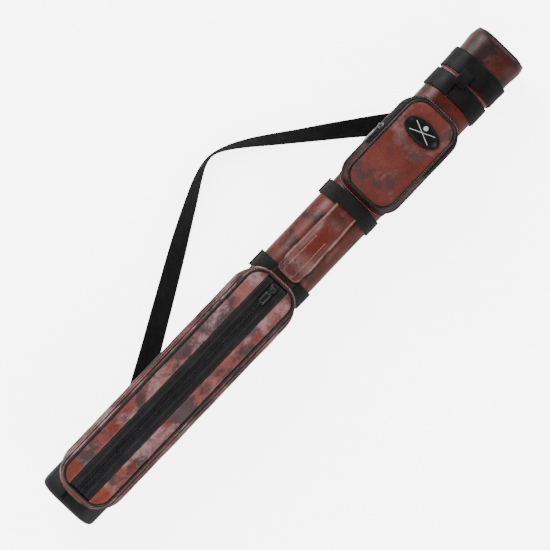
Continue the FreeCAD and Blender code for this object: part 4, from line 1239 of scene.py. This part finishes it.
PLATE_LEVELS = [(0.0, 0.0), (1.0, 0.0), (1.0, 1.5), (0.99, 2.1), (0.965, 2.45), (0.93, 2.45), (0.905, 2.1),
                (0.895, 1.55), (0.6, 1.62), (0.0, 1.65)]
BALL_LEVELS = [(0.0, 0.85), (0.4, 0.8), (0.75, 0.6), (0.95, 0.3), (1.0, 0.0), (0.0, 0.0)]
badge = oval("badge_plate", BADGE_ALONG, BADGE_LOW, 27.5, 15.0, PLATE_LEVELS, 72, badge_rubber)
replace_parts(badge, "badge")
cues = []
for name, angle in (("badge_cue_48", math.radians(24)), ("badge_cue_0", math.radians(-24))):
    points = [(math.cos(angle) * away, START + BADGE_ALONG + math.sin(angle) * away, BADGE_LOW + 1.75)
              for away in np.linspace(-18, 18, 9)]
    cues.append(round_cord(name, points, 0.55, badge_inlay, closed=False))
join(*cues, oval("badge_ball", BADGE_ALONG + 7.4, BADGE_LOW + 1.6, 3.4, 3.4, BALL_LEVELS, 24, badge_inlay))

# --- Handle ------------------------------------------------------------------------------

# Place along the case, height, thickness and share of the full width.
HANDLE_PATH = [
    (419.8, 90.2, 2.6, 0.62), (421.5, 90.3, 3.0, 0.8), (424.5, 90.6, 3.4, 0.95),
    (428.0, 91.6, 4.2, 1.0), (433.0, 94.6, 6.0, 1.0), (438.5, 98.8, 8.0, 1.02),
    (445.0, 102.3, 9.6, 1.06), (453.0, 104.3, 10.6, 1.05), (462.0, 104.9, 11.0, 1.02),
    (476.0, 105.0, 11.0, 1.0), (490.0, 104.9, 11.0, 1.0), (500.0, 104.0, 10.4, 0.98),
    (508.0, 101.6, 9.4, 0.97), (515.0, 97.8, 8.0, 0.96), (521.0, 93.8, 6.4, 0.95),
    (526.5, 90.2, 4.6, 0.95), (531.5, 87.9, 3.4, 0.95), (536.0, 86.9, 2.4, 0.95),
]
HANDLE_WIDE = 37.0
HANDLE_X = 0.6
HANDLE_FLAT = 0.82


def handle_sections(pitch=2.2):
    """Centre, normal, thickness and width at an even pitch along the padded handle."""
    along, height, thick, share = np.array(HANDLE_PATH).T
    line = np.stack([np.full(len(along), HANDLE_X), along + START, height], axis=1)
    run = run_of(line)
    wanted = np.linspace(0, run[-1], int(run[-1] / pitch))
    centres = smoothed(sample(wanted, run, line), 2)
    ahead = unit(np.gradient(centres, axis=0))
    normals = np.stack([np.zeros(len(ahead)), -ahead[:, 2], ahead[:, 1]], axis=1)
    return centres, normals, np.interp(wanted, run, thick), np.interp(wanted, run, share) * HANDLE_WIDE


def handle_top(u, thick):
    """Height of the handle's face above its middle at a share u of its half width."""
    edge = min(1.2, thick / 2)
    if abs(u) >= HANDLE_FLAT:
        return edge * (1 - 0.35 * ((abs(u) - HANDLE_FLAT) / (1 - HANDLE_FLAT)) ** 3)
    dome = (1 - (abs(u) / HANDLE_FLAT) ** 2.6) ** 0.7
    groove = 0.35 * math.exp(-((abs(u) - HANDLE_FLAT) / 0.03) ** 2)
    return edge + (thick / 2 - edge) * dome - groove


def handle_face(section, u, back=0.0):
    """A point just above the handle's face, moved back towards the boot."""
    centre, normal, thick, wide = section
    return centre + (u * wide / 2, -back, 0) + normal * (handle_top(u, thick) + 0.05)


def build_handle():
    """The padded strap with its darker rim and two rows of stitches."""
    centres, normals, thicks, wides = handle_sections()
    sections = list(zip(centres, normals, thicks, wides))
    rim = [0.77, 0.81, 0.84, 0.88, 0.93, 0.97, 1.0]
    shares = [-u for u in rim[::-1]] + list(np.linspace(-0.7, 0.7, 15)) + rim
    rows = []
    for centre, normal, thick, wide in sections:
        top, low = [], []
        for u in shares:
            beside = centre + (u * wide / 2, 0, 0)
            wrinkle = 0.22 * soft_noise(centre + (u * 12, 0, 0), 9.0, 6.0) * (1 - abs(u)) * min(1, thick / 6)
            top.append(beside + normal * (handle_top(u, thick) + wrinkle))
            low.append(beside - normal * handle_top(u, thick) * 0.92)
        rows.append(top + low[::-1])
    piece = rows_to_mesh("handle_strap", rows, handle_leather, caps=True)
    piece.data.materials.append(rim_leather)
    for polygon in piece.data.polygons:
        half = np.interp(polygon.center.y / MM, centres[:, 1], wides / 2)
        if abs(polygon.center.x / MM - HANDLE_X) > HANDLE_FLAT * half:
            polygon.material_index = 1
    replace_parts(piece, "handle_pad")
    for name, share, first, end in (("edge", 0.9, 1, None), ("inner", 0.42, 2, 32)):
        sewn = sections[first:end]
        left, right = ([handle_face(section, side * share) for section in sewn] for side in (-1, 1))
        foot = [handle_face(sewn[0], u * share, 0.9 * (1 - u * u)) for u in np.linspace(-0.9, 0.9, 9)]
        ups = [section[1] for section in sewn]
        stitches(f"handle_stitches_{name}", left[::-1] + foot + right, ups[::-1] + ups[:1] * 9 + ups,
                 light_thread, "leatherette", radius=0.42)


build_handle()
# The handle's sewn foot, real leather in the lid's darker leatherette: painted shade under the handle's end.
yz_strip("handle_foot", [(411.5, 88.75), (416.0, 88.95), (421.5, 89.05)], 35.0, 0.8, lid_leather,
         x=HANDLE_X, pitch=1.5)

# --- Webbing at the back -----------------------------------------------------------------


def back_strap(name, path):
    """Webbing in the YZ plane: full thickness on the floor, thin where it is folded under the case."""
    line = np.array([(0.0, START + along, z) for along, z in path])
    dense = np.vstack([line[:1], even_points(line, 1.2)[0], line[-1:]])
    thick = np.interp(dense[:, 2], [0.75, 2.0, 4.4], [1.5, 1.1, 0.8])
    across = np.tile([1.0, 0.0, 0.0], (len(dense), 1))
    return ribbon(name, dense, across, 36.0, thick, band_webbing, body=None)


anchor = back_strap("anchor_strap", [(8.0, 0.75), (60.0, 0.75), (94.0, 0.75), (97.6, 0.9), (98.5, 1.9),
                                     (98.2, 3.4), (97.0, 4.45), (90.0, 4.5), (80.0, 4.5)])
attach(anchor, CASE)
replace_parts(anchor, "anchor_webbing")
hinge = back_strap("hinge_strap", [(736.0, 4.5), (730.0, 4.5), (728.0, 4.45), (726.6, 3.4), (726.3, 1.9),
                                   (727.2, 0.9), (731.0, 0.75), (766.0, 0.75), (800.0, 0.75), (832.0, 0.75)])
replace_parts(hinge, "hinge_strap_body", "hinge_strap_lid")
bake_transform(hinge)
for low, high, body in ((12, 46, CASE), (792, 828, "lid")):
    for x in (-13.5, 13.5):
        seam = [(x, START + along, 0.02) for along in np.linspace(low, high, 8)]
        stitches(f"back_stitches_{low}_{int(x + 14)}", seam, [(0, 0, -1)] * 8, dark_thread, "webbing", body,
                 radius=0.05)

# --- Shoulder strap ----------------------------------------------------------------------

STRAP_WIDE = 30.0
STRAP_THICK = 1.4
STRAP_SQUARE = 34.0
FOLD_THICK = 0.75
RING_WIRE = 2.4
STRAP_ROUTE = [
    (1, 711, 0), (-21, 685, 0), (-44, 657, 18), (-66, 630, 36), (-89, 601, 44), (-113, 570, 55),
    (-137, 540, 61), (-156, 516, 69), (-171, 494, 79), (-181.5, 472, 88), (-180.5, 454, 82),
    (-172, 432, 69), (-158, 405, 58), (-141, 372, 48), (-122, 337, 38), (-101, 299, 33), (-80, 260, 27),
    (-59, 222, 22), (-40, 186, 14), (-21, 150, 0), (-2, 114, 0),
]


def spline_points(name, controls):
    """Points in metres along a smooth curve through the route's control points."""
    data = bpy.data.curves.new(name, "CURVE")
    data.dimensions = "3D"
    data.resolution_u = 12
    spline = data.splines.new("NURBS")
    spline.points.add(len(controls) - 1)
    for point, place in zip(spline.points, controls):
        point.co = (*place, 1.0)
    spline.order_u = 3
    spline.use_endpoint_u = True
    curve = add_object(name, data)
    bpy.context.view_layer.update()
    made = bpy.data.meshes.new_from_object(curve)
    points = np.array([tuple(vertex.co) for vertex in made.vertices])
    bpy.data.objects.remove(curve)
    bpy.data.curves.remove(data)
    bpy.data.meshes.remove(made)
    return points


def strap_fold(name, line, across, ring, ahead):
    """The strap's end turned up round a ring's bar and sewn back onto the strap; line starts at the bar."""
    low, high = box_mm(ring)
    bar_y = high[1] - RING_WIRE / 2 if ahead > 0 else low[1] + RING_WIRE / 2
    bar_z = (low[2] + high[2]) / 2
    reach = RING_WIRE / 2 + FOLD_THICK / 2 + 0.05
    points, sides = [], []
    for angle in np.radians(np.linspace(-150, 20, 12)):
        points.append((line[0][0], bar_y + ahead * reach * math.sin(angle), bar_z + reach * math.cos(angle)))
        sides.append(across[0])
    turn_end = points[-1][2]
    laid = STRAP_THICK / 2 + FOLD_THICK / 2
    for away, drop in ((5.5, 0.62), (8.0, 0.22), (11.0, 0.04), (15.0, 0.0), (20.0, 0.0), (26.0, 0.0)):
        x, y, z = sample(away, run_of(line), line)
        points.append((x, y, z + laid + drop * (turn_end - z - laid)))
        sides.append(unit(sample(away, run_of(line), across)))
    points, sides = np.array(points), np.array(sides)
    pieces = [ribbon(name, points, sides, STRAP_WIDE - 0.4, FOLD_THICK, strap_webbing)]
    for index in (-5, -2):
        seam = [points[index] + sides[index] * u + (0, 0, FOLD_THICK / 2) for u in np.linspace(-13, 13, 9)]
        pieces.append(stitches(f"{name}_stitches_{-index}", seam, [(0, 0, 1)] * 9, dark_thread,
                               "strap_webbing", radius=0.28))
    return pieces


def build_strap():
    """The strap along its route, leaning as far as the route says, and square to the case at its rings."""
    centres, edges = [], []
    for x, along, lean in STRAP_ROUTE:
        lean = math.radians(lean)
        lift = STRAP_WIDE / 2 * math.sin(lean) + STRAP_THICK / 2 * math.cos(lean) + 0.1
        centres.append(np.array([x, START + along, lift]) * MM)
    for index, centre in enumerate(centres):
        before, after = centres[max(index - 1, 0)], centres[min(index + 1, len(centres) - 1)]
        ahead = unit((after - before)[:2])
        lean = math.radians(STRAP_ROUTE[index][2])
        across = np.array([ahead[1] * math.cos(lean), -ahead[0] * math.cos(lean), math.sin(lean)])
        edges.append(centre + across * STRAP_WIDE / 2 * MM)
    middle = spline_points("strap_middle", centres)
    across = unit(spline_points("strap_edge", edges) - middle)
    line = middle / MM
    run = run_of(line)
    square = np.clip((STRAP_SQUARE - np.minimum(run, run[-1] - run)) / STRAP_SQUARE, 0, 1)[:, None]
    across = unit(across * (1 - square) + np.array([[-1.0, 0.0, 0.0]]) * square)
    strap = ribbon("shoulder_webbing", line, across, STRAP_WIDE, STRAP_THICK, strap_webbing,
                   steps=14)
    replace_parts(strap, "shoulder_strap")
    sewn = strap_fold("strap_fold_upper", line, across, "upper_ring", -1)
    sewn += strap_fold("strap_fold_lower", line[::-1], across[::-1], "lower_ring", 1)
    run_of(middle)[-1]


build_strap()

# --- Closure tab -------------------------------------------------------------------------

TAB_X = -8.5
TAB_PATH = [(779.4, 90.2), (776.0, 90.6), (772.5, 91.0), (770.2, 91.1), (764.0, 91.1), (755.6, 91.1)]
tab = yz_strip("closure_strap", TAB_PATH, 17.0, 1.6, collar_vinyl, body=None, x=TAB_X,
               pitch=0.8, round_end=4.5, crown=0.15)
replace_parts(tab, "closure_tab", "closure_tab_base")
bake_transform(tab)
root = rounded_outline(8.5, 4.4, 1.5, 5, 4, 4)[0] + (TAB_X, START + 775.0)
rounded_slab("closure_strap_root", root, 88.4, 89.9, 0.4, Matrix.Identity(4), collar_vinyl,
             "lid")

# --- Floor -------------------------------------------------------------------------------

FLOOR_REACH = 6000
FLOOR_HEIGHT = -0.3


def build_floor():
    """A white floor whose glow only the camera sees, so that it throws no extra light on the case."""
    made = Shader("floor")
    speck = made.noise(made.place(), 300, 3.0)
    seen = made.add("ShaderNodeLightPath").outputs["Is Camera Ray"]
    white = made.finish({
        "Base Color": made.ramp(speck, (0.3, (240, 240, 240)), (0.7, (248, 248, 248))),
        "Roughness": 0.9,
        "Emission Color": (1, 1, 1, 1),
        "Emission Strength": made.times(seen, 5.0),
    })
    corners = [(x * FLOOR_REACH, y * FLOOR_REACH, FLOOR_HEIGHT)
               for x, y in ((-1, -1), (1, -1), (1, 1), (-1, 1))]
    make_mesh("floor", corners, [(0, 1, 2, 3)], white, body=None)


build_floor()
